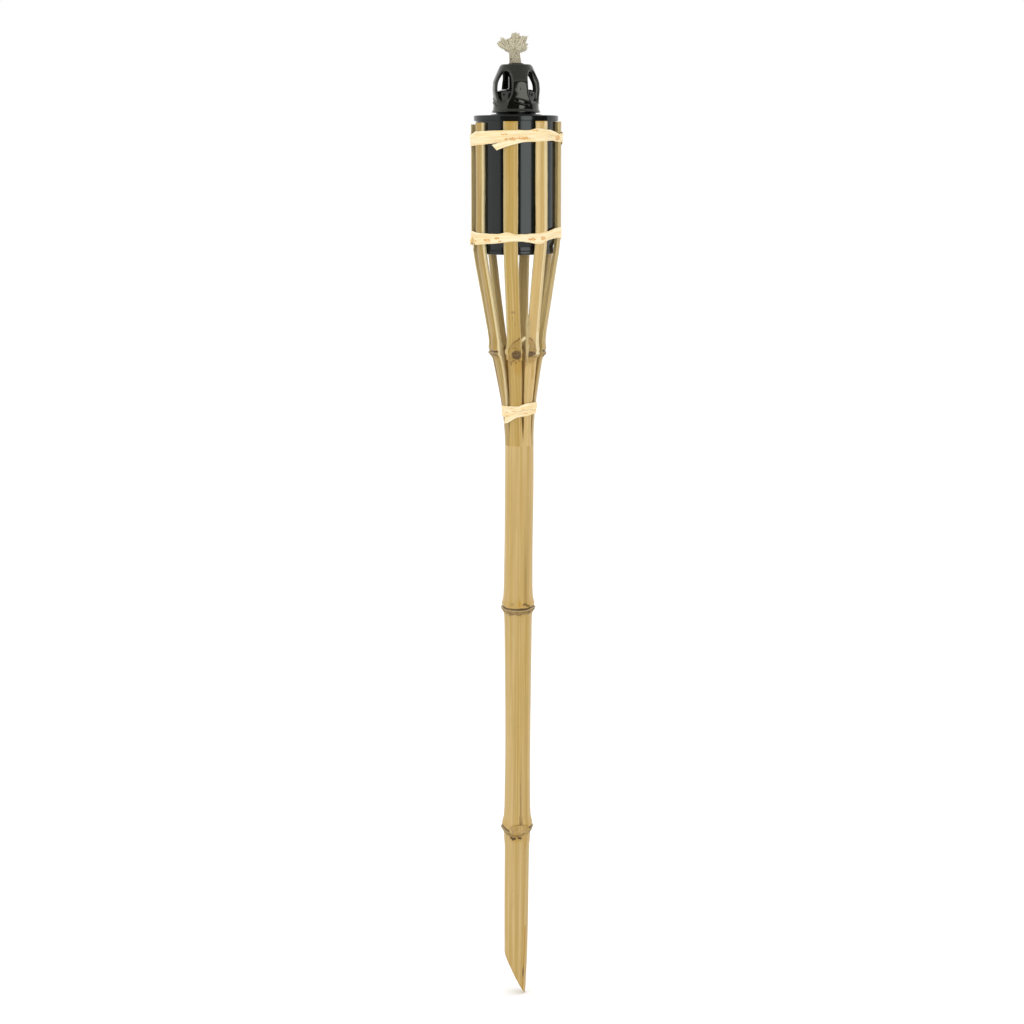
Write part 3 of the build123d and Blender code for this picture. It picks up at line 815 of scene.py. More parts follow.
# how wide the left and right edges of each slat are shaved
SHAVED = [(2.0, 0.7), (0.25, 0.3), (0.4, 0.3), (0.5, 0.5), (0.6, 1.4), (1.2, 0.4), (0.3, 0.4), (0.3, 1.1)]
SLAT_SKINS = [
    golden_bamboo, pale_bamboo, olive_bamboo, bamboo, olive_bamboo, olive_bamboo, olive_bamboo, shade_darkened_bamboo,
]
SKIN_COLUMNS = 22             # points across a slat's skin, and across its inside but for the edges
SIDE_COLUMNS = 5              # and across each of its split faces


def slat_path(z):
    """A slat's distance from the axis and its lean, as a slope, at each height."""
    fine = np.linspace(ROOT_Z, 460, 1200)
    slope = SPREAD_SLOPE * np.clip((fine - LOW_BEND[0]) / (LOW_BEND[1] - LOW_BEND[0]), 0, 1)
    slope = slope * (1 - np.clip((fine - HIGH_BEND[0]) / (HIGH_BEND[1] - HIGH_BEND[0]), 0, 1))
    away = np.concatenate([[0], np.cumsum((slope[1:] + slope[:-1]) / 2 * np.diff(fine))])
    away = away * SPREAD / away[-1]
    return np.interp(z, fine, away), np.interp(z, fine, slope)


front_arch = Curve((-4.2, -2.0), (-3.5, 0.9), (-1.85, 3.4), (-0.15, 5.9), (2.0, 7.3), (3.7, 8.4), (6.0, 9.2))
side_arch = Curve((-6.0, 9.2), (-3.2, 8.6), (-1.45, 7.7), (0.0, 5.6), (1.6, 3.1), (3.3, 1.4), (3.9, -2.0))


def split_node_marks(number, across, up):
    """The old branch scar that spans the two front slats, as (relief, dark, rust, its own ground)."""
    none = np.zeros(np.shape(across))
    fibres = wobble(across * 1.7, up * 0.6, 0, 44)
    if number == 1:
        inside = step(front_arch(across) - up, -0.3, 0.3) * step(up, -5.4, -4.4) * step(across, -4.3, -3.7)
        arch = np.exp(-((up - front_arch(across)) / 0.42) ** 2) * (across > -3.6) * (up > 0.4)
        rim_line = [(-3.1, 1.0), (-3.8, -0.9), (-3.8, -3.2), (-2.6, -4.6), (-0.6, -5.6)]
        rim = stroke(across, up, rim_line, 1.3, 0.7)
        eye = spot(across, up, (1.4, -1.6), 5.9, 5.9, 0.22)
        smudge = spot(across, up, (1.3, 2.7), 3.4, 2.0, 0.7)
        lines = np.maximum.reduce([
            stroke(across, up, [(-6.7, -4.1), (-4.6, -5.5), (-2.8, -6.4), (-1.65, -6.0), (-0.5, -4.8)], 0.35),
            stroke(across, up, [(0.0, -4.9), (1.3, -4.5), (2.3, -4.8), (3.0, -5.9)], 0.35, 0.45),
            stroke(across, up, [(-2.8, -6.6), (-2.3, -8.2), (-1.6, -6.3)], 0.25, 0.4),
        ])
        second = stroke(across, up, [(-5.4, -2.0), (-4.1, -2.2)], 0.4, 0.5)
        dot = spot(across, up, (0.9, -6.7), 1.0, 1.0)
        freckles = spot(across, up, (-0.3, 20.6), 0.8, 1.2) + spot(across, up, (0.7, 18.3), 0.8, 1.0)
        freckles = freckles + spot(across, up, (1.0, 17.0), 1.0, 0.8) + spot(across, up, (0.2, 24.6), 3.0, 0.5)
        stain = spot(across, up, (1.8, -9.0), 5.4, 11, 0.5)
        relief = 0.55 * rim - 0.5 * eye - 0.2 * arch + 0.12 * inside * fibres - 0.12 * lines
        dark = np.maximum.reduce([
            0.75 * arch, eye * (0.94 + 0.25 * fibres), 0.7 * second, 0.6 * lines, 0.9 * dot, 0.5 * freckles,
            0.34 * smudge, inside * (0.2 + 0.25 * np.maximum(fibres, 0)), 0.12 * rim,
        ])
        rust = np.maximum.reduce([0.5 * rim, 0.5 * stain, 0.24 * inside])
        return relief, dark, rust, inside
    if number == 2:
        inside = step(side_arch(across) - up, -0.3, 0.3) * step(up, -4.6, -3.4) * (1 - step(across, 3.0, 3.8))
        arch = np.exp(-((up - side_arch(across)) / 0.5) ** 2) * (across < 3.2) * (up > 0.8)
        eye = stroke(across, up, [(-4.4, -1.2), (-1.4, -1.1)], 3.0, 0.8)
        eye = np.maximum(eye, stroke(across, up, [(-1.4, -1.0), (1.5, -0.9)], 1.0, 0.7))
        streak = stroke(across, up, [(0.3, -3.5), (0.8, -9.8), (1.4, -16.0)], 0.9, 1.0)
        patch = spot(across, up, (-0.6, -5.2), 6.0, 4.0, 0.6)
        speckle = wobble(across * 2.6, up * 1.0, 4, 44)
        relief = -0.35 * eye - 0.18 * arch + 0.22 * inside * fibres
        dark = np.maximum.reduce([
            0.8 * arch, 0.95 * eye, inside * (0.34 + 0.4 * np.maximum(speckle, 0)), 0.2 * patch,
        ])
        rust = np.maximum.reduce([0.2 * inside, 0.42 * streak, 0.45 * patch])
        return relief, dark, rust, inside
    return none, none, none, none


def make_slat(number):
    """One split of the culm with its share of the node, swept from the root to its sawn top."""
    azimuth, left_reach, right_reach = SLATS[number - 1]
    start, end = CRACKS[number - 1], CRACKS[number]
    if number == 8:
        azimuth, start, end = azimuth - 360, start - 360, end - 360
    top = high(f"slat_{number}")
    z = np.concatenate([
        np.arange(ROOT_Z, SPLIT_NODE_Z - NODE_REACH, 1.0),
        np.arange(SPLIT_NODE_Z - NODE_REACH, SPLIT_NODE_Z + NODE_REACH, 0.32),
        np.arange(SPLIT_NODE_Z + NODE_REACH, top - 0.5, 1.1),
        [top - 0.45, top - 0.15, top],
    ])
    away, slope = slat_path(z)
    lean = np.arctan(slope)

    # its two edges, in degrees about its own axis, from the cracks at the root to its width at the can
    left_end = azimuth - math.degrees(left_reach / CULM_R)
    right_end = azimuth + math.degrees(right_reach / CULM_R)
    grown = step(z, ROOT_Z + 12, SPLIT_NODE_Z - 10)
    gap = 0.12 + 0.35 * step(z, ROOT_Z - 4, ROOT_Z + 30)
    closed = step(z, ROOT_Z, ROOT_Z + 10)
    left = (start + math.degrees(1 / CULM_R) * gap * closed) * (1 - grown) + left_end * grown
    right = (end - math.degrees(1 / CULM_R) * gap * closed) * (1 - grown) + right_end * grown
    ragged = 1.3 * step(z, ROOT_Z + 5, ROOT_Z + 40)
    left = left + ragged * (wobble(z * 0.035, 0, 0, number) + 0.3 * wobble(z * 0.3, 0, 0, number + 9))
    right = right + ragged * (wobble(z * 0.035, 5, 0, number) + 0.3 * wobble(z * 0.3, 5, 0, number + 9))

    opened = step(z, ROOT_Z + 4, ROOT_Z + 34)
    shaved_left, shaved_right = ((0.12 + width * opened) * closed for width in SHAVED[number - 1])
    shares = np.linspace(0, 1, SKIN_COLUMNS)
    inner_left = left + np.degrees(shaved_left / CULM_R)
    inner_right = right - np.degrees(shaved_right / CULM_R)
    skin_beta = inner_left[:, None] + (inner_right - inner_left)[:, None] * shares
    up = ((z - SPLIT_NODE_Z) / np.cos(lean))[:, None] + np.zeros_like(skin_beta)
    own_across = np.radians(skin_beta - azimuth) * CULM_R
    shared_across = np.radians(skin_beta) * CULM_R
    relief, dark, rust, pale = node_surface(shared_across, up, skin_beta, 11, split_sag)
    near = np.abs(up) < NODE_REACH
    mark_relief, mark_dark, mark_rust, ground = split_node_marks(number, own_across, up)
    smooth = node_relief(np.abs(up) * 0.45 - 1.3) * 0.9
    relief = relief * (1 - ground) + smooth * ground
    skin_r = CULM_R + relief * near + mark_relief + culm_relief(skin_beta, z[:, None])
    facet = np.zeros(skin_beta.shape)
    if number == 2:
        # a flat the knife left along its right side, painted pale as a highlight, with painted shade in a thin
        # line along its crease
        from_line = own_across - 1.45 - 0.12 * wobble(z[:, None] * 0.03, 0, 0, 77)
        facet = step(from_line, -0.05, 0.15) * step(up, -2.5, -1.0)
        skin_r = skin_r + facet * CULM_R * (math.cos(math.radians(4)) / np.cos(np.radians(skin_beta - 48)) - 1)
        dark = np.maximum(dark, 0.2 * np.exp(-((from_line + 0.2) / 0.2) ** 2) * (up > 2))
    fading = 0.35 if number <= 2 else 1.0
    dark = np.maximum(fading * dark * near * (1 - ground), mark_dark)
    rust = np.maximum(fading * rust * near * (1 - ground), mark_rust)
    # painted highlight on the flat of slat 2
    pale = np.maximum(pale * (1 - ground), facet * (0.75 - 0.35 * step(own_across, 2.3, 2.9)))
    sawn = 1 - step(top - z, 0.2, 0.9)[:, None]
    rust = np.maximum(rust, sawn * (0.75 + 0.3 * wobble(own_across * 1.2, 0, 0, number)))
    run_down = np.exp(-(top - z[:, None]) / 2.2) * step(wobble(own_across * 1.1, 9, 0, number), 0.1, 0.5)
    rust = np.maximum(rust, 0.5 * run_down)

    # the split faces and the inside, rougher than the skin and with the torn diaphragm at the node
    wall = CULM_WALL + 0.5 * step(z, ROOT_Z + 2, ROOT_Z + 30) + 0.8 * np.exp(-((z - SPLIT_NODE_Z) / 9) ** 2)
    inner_r = CULM_R - wall + 0.15 * wobble(z * 0.06, 0, 3, number)
    diaphragm = np.exp(-((z - SPLIT_NODE_Z) / 1.8) ** 4)
    right_edge_r = skin_r[:, -1] - 0.34 * shaved_right
    left_edge_r = skin_r[:, 0] - 0.34 * shaved_left
    depth = np.linspace(0, 1, SIDE_COLUMNS - 1)
    right_r = right_edge_r[:, None] + (inner_r - right_edge_r)[:, None] * depth
    left_r = inner_r[:, None] + (left_edge_r - inner_r)[:, None] * depth
    right_r = np.concatenate([skin_r[:, -1:] - 0.005, right_r], 1)
    left_r = np.concatenate([left_r, skin_r[:, :1] - 0.005], 1)
    splinters = 0.1 * wobble(z[:, None] * 0.5, depth[None, :] * 2, 0, number + 30)
    right_beta = right[:, None] + np.degrees(splinters / CULM_R) * closed[:, None]
    left_beta = left[:, None] - np.degrees(splinters[:, ::-1] / CULM_R) * closed[:, None]
    right_beta = np.concatenate([inner_right[:, None] + 0.05, right_beta], 1)
    left_beta = np.concatenate([left_beta, inner_left[:, None] - 0.05], 1)
    inside_beta = right[:, None] + (left - right)[:, None] * shares[1:-1]
    torn = diaphragm[:, None] * (0.9 + 0.9 * wobble(inside_beta * 0.09, z[:, None] * 0.8, 0, number + 60))
    pith = 0.12 * wobble(inside_beta * 0.12, z[:, None] * 0.05, 0, number + 70)
    inside_r = inner_r[:, None] - torn * closed[:, None] + pith

    beta = np.concatenate([skin_beta, right_beta, inside_beta, left_beta], 1)
    rho = np.concatenate([skin_r, right_r, inside_r, left_r], 1)
    angle = np.radians(beta)
    out = math.radians(azimuth)
    outwards = rho * np.cos(angle - out)
    sideways = rho * np.sin(angle - out)
    sway = 0.25 * step(z, ROOT_Z + 20, ROOT_Z + 80) * wobble(z * 0.016, 2, 0, number + 80)
    sideways = sideways + sway[:, None]
    from_axis = away[:, None] + outwards * np.cos(lean)[:, None]
    rise = z[:, None] - outwards * np.sin(lean)[:, None]
    x = from_axis * math.sin(out) + sideways * math.cos(out)
    y = -from_axis * math.cos(out) + sideways * math.sin(out)
    points = bent(np.stack([x, y, rise], -1))

    wood = np.zeros(beta.shape)
    wood[:, SKIN_COLUMNS:] = 1
    across = np.radians(beta) * CULM_R
    grain = np.stack([across, rho - CULM_R, rise], -1)
    shade = np.zeros(beta.shape)
    shade[:, :SKIN_COLUMNS] = dark
    inside = slice(SKIN_COLUMNS + SIDE_COLUMNS, beta.shape[1] - SIDE_COLUMNS)
    mottle = 0.12 * wobble(inside_beta * 0.3, z[:, None] * 0.02, 0, number)
    # painted shade: the whole inside is darker, the torn diaphragm darker still
    shade[:, inside] = 0.16 + 0.5 * diaphragm[:, None] + mottle
    warm = np.zeros(beta.shape)
    warm[:, :SKIN_COLUMNS] = rust
    light = np.zeros(beta.shape)
    light[:, :SKIN_COLUMNS] = pale * (near + facet)
    # painted light: the right split faces of slats 2 and 8 are pale fresh wood, painted lighter still for the
    # light they catch; painted shade on every split face, deeper down in the root's narrow cracks, where the
    # faces and the inside are also brown
    right_side = slice(SKIN_COLUMNS, SKIN_COLUMNS + SIDE_COLUMNS)
    left_side = slice(beta.shape[1] - SIDE_COLUMNS, None)
    if number in (2, 8):
        light[:, right_side] = 0.6
    in_root = (1 - step(z, SPLIT_NODE_Z - 8, SPLIT_NODE_Z + 2))[:, None]
    for side in (right_side, left_side):
        warm[:, side] = 0.6 * in_root
        shade[:, side] = 0.12 + 0.15 * in_root
    warm[:, inside] = 0.6 * in_root
    slat = Shape()
    slat.tube(points, grain=grain, stains=stains(shade, warm, light), wood=wood)
    slat.make(f"split_{number}", SLAT_SKINS[number - 1], "basket", "split_bamboo", f"slat_{number}", sharp=27)


for slat_number in range(1, len(SLATS) + 1):
    make_slat(slat_number)


def make_splinter():
    """The loose sliver in the gap between the two front slats, with a pale chip of fresh wood beside it."""
    z = np.linspace(SPLIT_NODE_Z - 10.2, SPLIT_NODE_Z + 24.5, 60)
    away, _ = slat_path(z)
    ends = step(z, z[0], z[0] + 14) * (1 - step(z, z[-1] - 9, z[-1]) * 0.9)
    middle = 6.9 + 0.25 * wobble(z * 0.08, 0, 0, 91)
    half = 0.12 + 1.05 * ends * (1 + 0.15 * wobble(z * 0.3, 0, 0, 92))
    node_out = 1.5 * np.exp(-((z - SPLIT_NODE_Z + 1) / 4) ** 2)
    front = -(away * 0.93 + 8.5 + node_out + 0.5 * step(z, z[-1] - 16, z[-1]))
    shape = Shape()
    across = np.array([-1, -0.5, 0, 0.5, 1, 0.8, 0, -0.8])
    deep = np.array([0.15, -0.12, -0.2, -0.1, 0.2, 0.9, 1.1, 0.9])
    x = middle[:, None] + half[:, None] * across
    y = front[:, None] + deep * (0.3 + 0.7 * ends[:, None])
    rings = stacked(x, y, z[:, None])
    grain = stacked(x, y * 0.3, z[:, None] + 400)
    dull = stains(0.3 + 0.16 * wobble(z[:, None] * 0.2, across * 0.8, 0, 93), 0.0, 0.1)
    shape.tube(rings, grain=grain, stains=dull, wood=np.ones(rings.shape[:2]))
    chip_z = SPLIT_NODE_Z + np.array([5.6, 8.0, 7.1, 3.9])
    chip_x = np.array([2.7, 4.9, 6.3, 3.2])
    chip_front = -(float(slat_path(SPLIT_NODE_Z + 6)[0]) * 0.95 + 8.2)
    corners = [(cx, chip_front + deep_mm, cz) for deep_mm in (0, 0.9) for cx, cz in zip(chip_x, chip_z)]
    sides = [(0, 3, 2, 1), (4, 5, 6, 7)] + [(i, (i + 1) % 4, (i + 1) % 4 + 4, i + 4) for i in range(4)]
    shape.add(corners, sides, grain=corners, stains=stains(np.zeros(8), 0, 1), wood=np.ones(8))
    shape.make("splinter", bamboo, "basket", "split_bamboo", sharp=27)


make_splinter()


# ---------------------------------------------------------------------------
# Raffia ties
# ---------------------------------------------------------------------------
RAFFIA = 0.28                 # a strip's thickness
TIE_R = 26                    # the radius at which a tie's length and flecks are measured
UPPER_TIE_Z = (low("raffia_tie_upper") + high("raffia_tie_upper")) / 2
LOWER_TIE_Z = (low("raffia_tie_lower") + high("raffia_tie_lower")) / 2
NECK_TIE_Z = (low("raffia_tie_neck") + high("raffia_tie_neck")) / 2


def round_slats(azimuth, z, lift):
    """Points and outward directions of a taut line round the slats, at each azimuth and height."""
    spread, _ = slat_path(z)
    turn = np.radians(azimuth)
    facing = np.stack([np.sin(turn), -np.cos(turn)], -1)
    centres = np.array([[math.sin(math.radians(a)), -math.cos(math.radians(a))] for a, *_ in SLATS])
    chord = np.full(np.shape(azimuth), -1.0)
    for centre, following in zip(centres, np.roll(centres, -1, 0)):
        side = following - centre
        normal = np.array([side[1], -side[0]]) / np.hypot(*side)
        if normal @ centre < 0:
            normal = -normal
        inward = facing @ normal
        flat = (spread * (centre @ normal) + CULM_R + lift) / np.maximum(inward, 1e-3)
        foot = facing * flat[..., None] - normal * (CULM_R + lift)
        along = ((foot - spread[..., None] * centre) @ side) / (spread * (side @ side) + 1e-9)
        chord = np.where((along >= 0) & (along <= 1) & (inward > 0), np.maximum(chord, flat), chord)
    face = np.full(np.shape(azimuth), -1.0)
    for centre in centres:
        middle = facing @ centre * spread
        off = np.maximum(spread**2 - middle**2, 0)
        inside = (CULM_R + lift) ** 2 - off
        face = np.where(inside > 0, np.maximum(face, middle + np.sqrt(np.maximum(inside, 0))), face)
    farthest = np.maximum(chord, face)
    return facing * farthest[..., None], facing


def strip(shape, azimuth, z, half, lift, seed, flecks=(), cut=0.0, stand=0.0):
    """A flat strip of raffia that follows the slats through azimuths and heights, added to a shape.

    Its edges lie half to each side of its middle, and lift and stand hold it off the slats.
    """
    width = np.linspace(-1, 1, 11)
    rows = len(azimuth)
    azimuth, z, half = (np.broadcast_to(np.asarray(v, float), (rows,)) for v in (azimuth, z, half))
    run = np.gradient(np.radians(azimuth) * TIE_R)
    rise = np.gradient(z)
    size = np.hypot(run, rise)
    lean_across, lean_up = -rise / size, run / size
    own = np.concatenate([[0], np.cumsum(size[1:])])
    # the cut ends slant
    slant = cut * width[None, :] * np.exp(-np.minimum(own, own[-1] - own) / 2.0)[:, None]
    spread_r = float(slat_path(np.array([z.mean()]))[0][0]) + CULM_R
    place = azimuth[:, None] + np.degrees((lean_across * half)[:, None] * width / spread_r)
    place = place + np.degrees(slant / spread_r)
    height = z[:, None] + (lean_up * half)[:, None] * width
    crease = 0.16 * wobble(own[:, None] * 0.05, width * 1.9, 0, seed)
    crease = crease + 0.07 * wobble(own[:, None] * 0.5, width * 4.0, 0, seed + 1)
    frayed = 0.14 * wobble(own[:, None] * 0.45, width * 0.5, 0, seed + 2) * np.abs(width) ** 3
    height = height + frayed
    lift = np.broadcast_to(np.asarray(lift, float), (rows,))[:, None]
    stand = np.broadcast_to(np.asarray(stand, float), (rows,))[:, None]
    flat, facing = round_slats(place, height, 0.12)
    thick = RAFFIA * (1 - 0.75 * np.abs(width) ** 5)
    under = lift + stand + np.maximum(crease, -0.1)
    over = under + thick
    inner = np.concatenate([flat + facing * under[..., None], height[..., None]], -1)
    outer = np.concatenate([flat + facing * over[..., None], height[..., None]], -1)
    points = np.concatenate([outer, inner[:, ::-1]], 1)
    grain = stacked(own[:, None], half[:, None] * width + 7.7 * seed, 0.0)
    grain = np.concatenate([grain, grain[:, ::-1]], 1)
    fleck_and_shadow_mask = np.zeros(place.shape)
    for (fleck_azimuth, fleck_z), size_mm in flecks:
        middle = (math.radians(fleck_azimuth) * TIE_R, fleck_z)
        fleck_and_shadow_mask = np.maximum(fleck_and_shadow_mask, spot(np.radians(place) * TIE_R, height, middle, *size_mm, 0.7))
    fleck_and_shadow_mask = np.concatenate([fleck_and_shadow_mask, fleck_and_shadow_mask[:, ::-1]], 1)
    shape.tube(bent(points), grain=grain, flecks=fleck_and_shadow_mask)


def knot(shape, azimuth, z, size, seed, spread_r, tails):
    """A small overhand knot on a tie, with its cut tails, each (azimuth, height, width)."""
    centre = polar(spread_r + 0.9, azimuth, z)
    turn = math.radians(azimuth)
    right = np.array([math.cos(turn), math.sin(turn), 0])
    out = np.array([math.sin(turn), -math.cos(turn), 0])
    up = np.array([0, 0, 1.0])
    t = np.linspace(0, 2 * math.pi, 72, endpoint=False)
    # a trefoil pressed flat against the slats
    path = (
        right * ((np.sin(t) + 1.6 * np.sin(2 * t)) * size * 0.36)[:, None]
        + up * ((np.cos(t) - 1.6 * np.cos(2 * t)) * size * 0.36)[:, None]
        + out * (-np.sin(3 * t) * 0.55)[:, None]
        + centre
    )
    run = np.roll(path, -1, 0) - np.roll(path, 1, 0)
    run /= np.linalg.norm(run, axis=1)[:, None]
    flat = np.cross(run, out)
    flat /= np.linalg.norm(flat, axis=1)[:, None]
    face = np.cross(flat, run)
    angle = np.linspace(0, 2 * math.pi, 14, endpoint=False)
    half = size * 0.27
    ring = (
        path[:, None] + flat[:, None] * (np.cos(angle) * half)[None, :, None]
        + face[:, None] * (np.sin(angle) * 0.3 + 0.12 * np.cos(3 * angle))[None, :, None]
    )
    own = np.arange(len(t)) * 0.5
    grain = stacked(own[:, None], np.cos(angle)[None, :] * half + 3 * seed, 0.0)
    # the last ring is joined to the first
    rows, columns = ring.shape[:2]
    faces = [[i % (rows * columns) for i in face] for face in ring_faces(rows + 1, columns)]
    shape.add(ring, faces, grain=grain, flecks=np.zeros((rows, columns)))
    for tail_azimuth, tail_z, width in tails:
        at = np.linspace(0, 1, 16)
        curl = 0.9 * at**2
        strip(shape, azimuth + (tail_azimuth - azimuth) * at, z + (tail_z - z) * at**1.2, width / 2, 0.55,
              seed + tail_z * 0.01, cut=1.2, stand=curl)


def band_edges(tops, bottoms, azimuth, middle):
    """The middle height and half width of a band between two edges, each (azimuth, height above the middle)."""

    def around(points):
        first = min(points)
        closed = list(points) + [(first[0] + 360, first[1])]
        return Curve(*closed)((np.asarray(azimuth) - first[0]) % 360 + first[0])

    top, bottom = around(tops), around(bottoms)
    return middle + (top + bottom) / 2, (top - bottom) / 2


def raised(flecks, middle):
    """Flecks and painted shadow lines, each given by (azimuth, height above a tie's middle) and size, at their
    real heights.
    """
    return [((azimuth, middle + up), size) for (azimuth, up), size in flecks]


def make_upper_tie():
    tie = Shape()
    turn = np.linspace(-180, 180, 400)
    flecks = [
        ((9, -0.9), (7.0, 1.6)), ((-4, -1.4), (3.4, 1.6)), ((-12, -1.6), (2.0, 1.0)),
        ((-15, 1.3), (4, 0.8)), ((66, -0.6), (4.6, 2.6)), ((24, 3.6), (3.0, 0.7)), ((-140, 1), (5, 2)),
        ((150, -1), (6, 1.5)),
    ]
    flecks = raised(flecks, UPPER_TIE_Z)
    tops = [
        (-180, 3.4), (-130, 2.6), (-87, 1.7), (-61, 3.0), (-20, 3.6), (0, 3.8), (14, 3.6), (30, 4.9),
        (42, 3.6), (55, 2.3), (80, 1.3), (120, 2.8),
    ]
    bottoms = [
        (-180, -3.0), (-130, -4.4), (-87, -5.3), (-51, -4.8), (-34, -4.0), (-14, -3.6), (5, -3.2),
        (31, -2.9), (50, -2.1), (64, -2.6), (90, -3.4), (130, -3.7),
    ]
    upper_bottoms = [(a, 0.35 * b + 0.2) for a, b in bottoms]
    lower_tops = [(a, 0.25 * t + 0.5) for a, t in tops]
    mid, half = band_edges(lower_tops, bottoms, turn, UPPER_TIE_Z)
    strip(tie, turn, mid, half, 0.0, 1, flecks)
    mid, half = band_edges(tops, upper_bottoms, turn, UPPER_TIE_Z)
    strip(tie, turn, mid, half, 0.26, 2, flecks)
    # two strands cross at the right: one falls over the band, one climbs
    share = np.linspace(0, 1, 60)
    fall = UPPER_TIE_Z + 2.6 - 7.2 * step(share, 0.25, 1.1)
    strip(tie, 26 + 76 * share, fall, 1.5, 0.5, 3, flecks, cut=0.6)
    climb = UPPER_TIE_Z - 1.2 + 3.0 * step(share, 0.1, 0.9)
    strip(tie, 34 + 74 * share, climb, 1.3, 0.05 + 0.7 * step(share, 0.02, 0.3), 6, flecks, cut=0.5)
    tails = [(170, UPPER_TIE_Z - 7.5, 2.6), (136, UPPER_TIE_Z - 9.5, 2.2)]
    knot(tie, 150, UPPER_TIE_Z - 1.2, 3.6, 4, 27.2, tails)
    # the cut tail across the front
    tail = np.linspace(0, 1, 44)
    droop = UPPER_TIE_Z - 0.2 - 6.2 * tail**1.25
    lift, stand = 0.1 + 0.45 * step(tail, 0.3, 0.6), 0.5 * step(tail, 0.75, 1.0)
    strip(tie, 22 - 50.5 * tail, droop, 1.75, lift, 5, flecks, cut=1.3, stand=stand)
    tie.make("raffia_upper", raffia, "basket", "raffia", "raffia_tie_upper", sharp=60)


def make_lower_tie():
    tie = Shape()
    turn = np.linspace(-180, 180, 400)
    flecks = [
        ((-41, -0.7), (4.5, 1.2)), ((-26, 0.6), (3.2, 1.2)), ((-21, -1.0), (2.0, 0.9)),
        ((21, 0.1), (4.4, 1.4)), ((36, 0.6), (3.0, 1.8)), ((40, -2.0), (1.6, 1.4)), ((-64, -1.4), (3, 1)),
        ((120, 0), (6, 1.6)),
    ]
    flecks = raised(flecks, LOWER_TIE_Z)
    tops = [
        (-180, 3.0), (-130, 3.8), (-87, 4.2), (-62, 3.7), (-40, 3.2), (-25, 3.1), (-11, 4.2), (1, 3.1),
        (23, 3.4), (47, 4.6), (69, 6.4), (84, 6.9), (120, 4.4),
    ]
    bottoms = [
        (-180, -3.2), (-130, -3.4), (-87, -2.8), (-68, -3.9), (-45, -3.0), (-26, -2.3), (1, -1.1),
        (18, -1.8), (31, -2.8), (40, -1.6), (49, -0.5), (71, 0.2), (100, -1.4),
    ]
    upper_bottoms = [(a, 0.3 * b + 0.7) for a, b in bottoms]
    lower_tops = [(a, 0.3 * t + 0.3) for a, t in tops]
    mid, half = band_edges(lower_tops, bottoms, turn, LOWER_TIE_Z)
    strip(tie, turn, mid, half, 0.26, 11, flecks)
    mid, half = band_edges(tops, upper_bottoms, turn, LOWER_TIE_Z)
    strip(tie, turn, mid, half, 0.0, 12, flecks)
    tails = [(-70, LOWER_TIE_Z - 5.8, 1.6), (-96, LOWER_TIE_Z - 5.0, 1.4)]
    knot(tie, -80, LOWER_TIE_Z - 1.6, 2.0, 14, 26.4, tails)
    tie.make("raffia_lower", raffia, "basket", "raffia", "raffia_tie_lower", sharp=60)


def make_neck_tie():
    tie = Shape()
    turn = np.linspace(-180, 180, 260)
    base = NECK_TIE_Z
    # painted shadow: thin lines along the strands' edges, where one strand lies over another
    flecks = [
        ((-42, -1.0), (7, 0.45)), ((-12, -0.3), (9, 0.35)), ((14, 1.0), (6, 0.35)), ((-44, -3.4), (6, 0.4)),
        ((22, -1.5), (7, 0.4)), ((-24, 1.2), (5, 0.35)), ((48, 0.6), (6, 0.35)),
    ]
    flecks = raised(flecks, base)
    strip(tie, turn, base + 0.9 + 0.3 * np.sin(np.radians(turn)), 1.9, 0.0, 21, flecks)
    lower = Curve((-180, -1.2), (-57, -2.7), (-20, -2.4), (11, -1.9), (43, -1.1), (75, -0.6), (180, -1.2))
    strip(tie, turn, base + lower(turn), 1.75, 0.28, 22, flecks)
    rise = np.linspace(-64, 150, 150)
    rising = Curve((-64, -0.9), (-35, -0.3), (-5, 0.9), (31, 2.7), (73, 2.8), (110, 1.6), (150, 0.2))
    fat = Curve((-64, 0.5), (-30, 1.5), (-14, 1.3), (20, 1.9), (60, 2.0), (150, 1.4))
    strip(tie, rise, base + rising(rise), fat(rise), 0.56, 23, flecks, cut=0.8)
    across = np.linspace(60, -56, 90)
    falling = Curve((-56, -6.4), (-44, -5.8), (-20, -3.6), (0, -2.4), (30, -1.4), (60, -0.9))
    wide = Curve((-56, 1.9), (-20, 1.6), (10, 1.0), (60, 0.8))
    stand = 0.25 * step(-across, 35, 56)
    strip(tie, across, base + falling(across), wide(across), 0.6, 24, flecks, cut=-1.0, stand=stand)
    tie.make("raffia_neck", raffia, "basket", "raffia", "raffia_tie_neck", sharp=60)


make_upper_tie()
make_lower_tie()
make_neck_tie()

# ---------------------------------------------------------------------------
# Lamp-oil can
# ---------------------------------------------------------------------------
SHEET = 0.4
CAN_R = reach("can_body")
SEAM_R = reach("can_base")
RIM_R = reach("can_lid")
BASE_Z = low("can_base")
SEAM_TOP_Z = low("can_body")
RIM_LOW_Z = high("can_body")
NECK_R = 12.0
BOSS_TOP_Z = high("can_lid")
LID_Z = BOSS_TOP_Z - 0.8


def dents(radius, azimuth, z):
    """Very slight waves in drawn sheet metal."""
    return 0.03 * wobble_round(np.radians(azimuth), 1.5, z * 0.03)


def side_seam(radius, azimuth, z):
    """The can's lapped side seam, at the back."""
    offset = np.radians(away_from(azimuth, 170)) * CAN_R
    lap = 0.22 * (1 - step(np.abs(offset), 1.4, 1.9))
    return lap + dents(radius, azimuth, z)


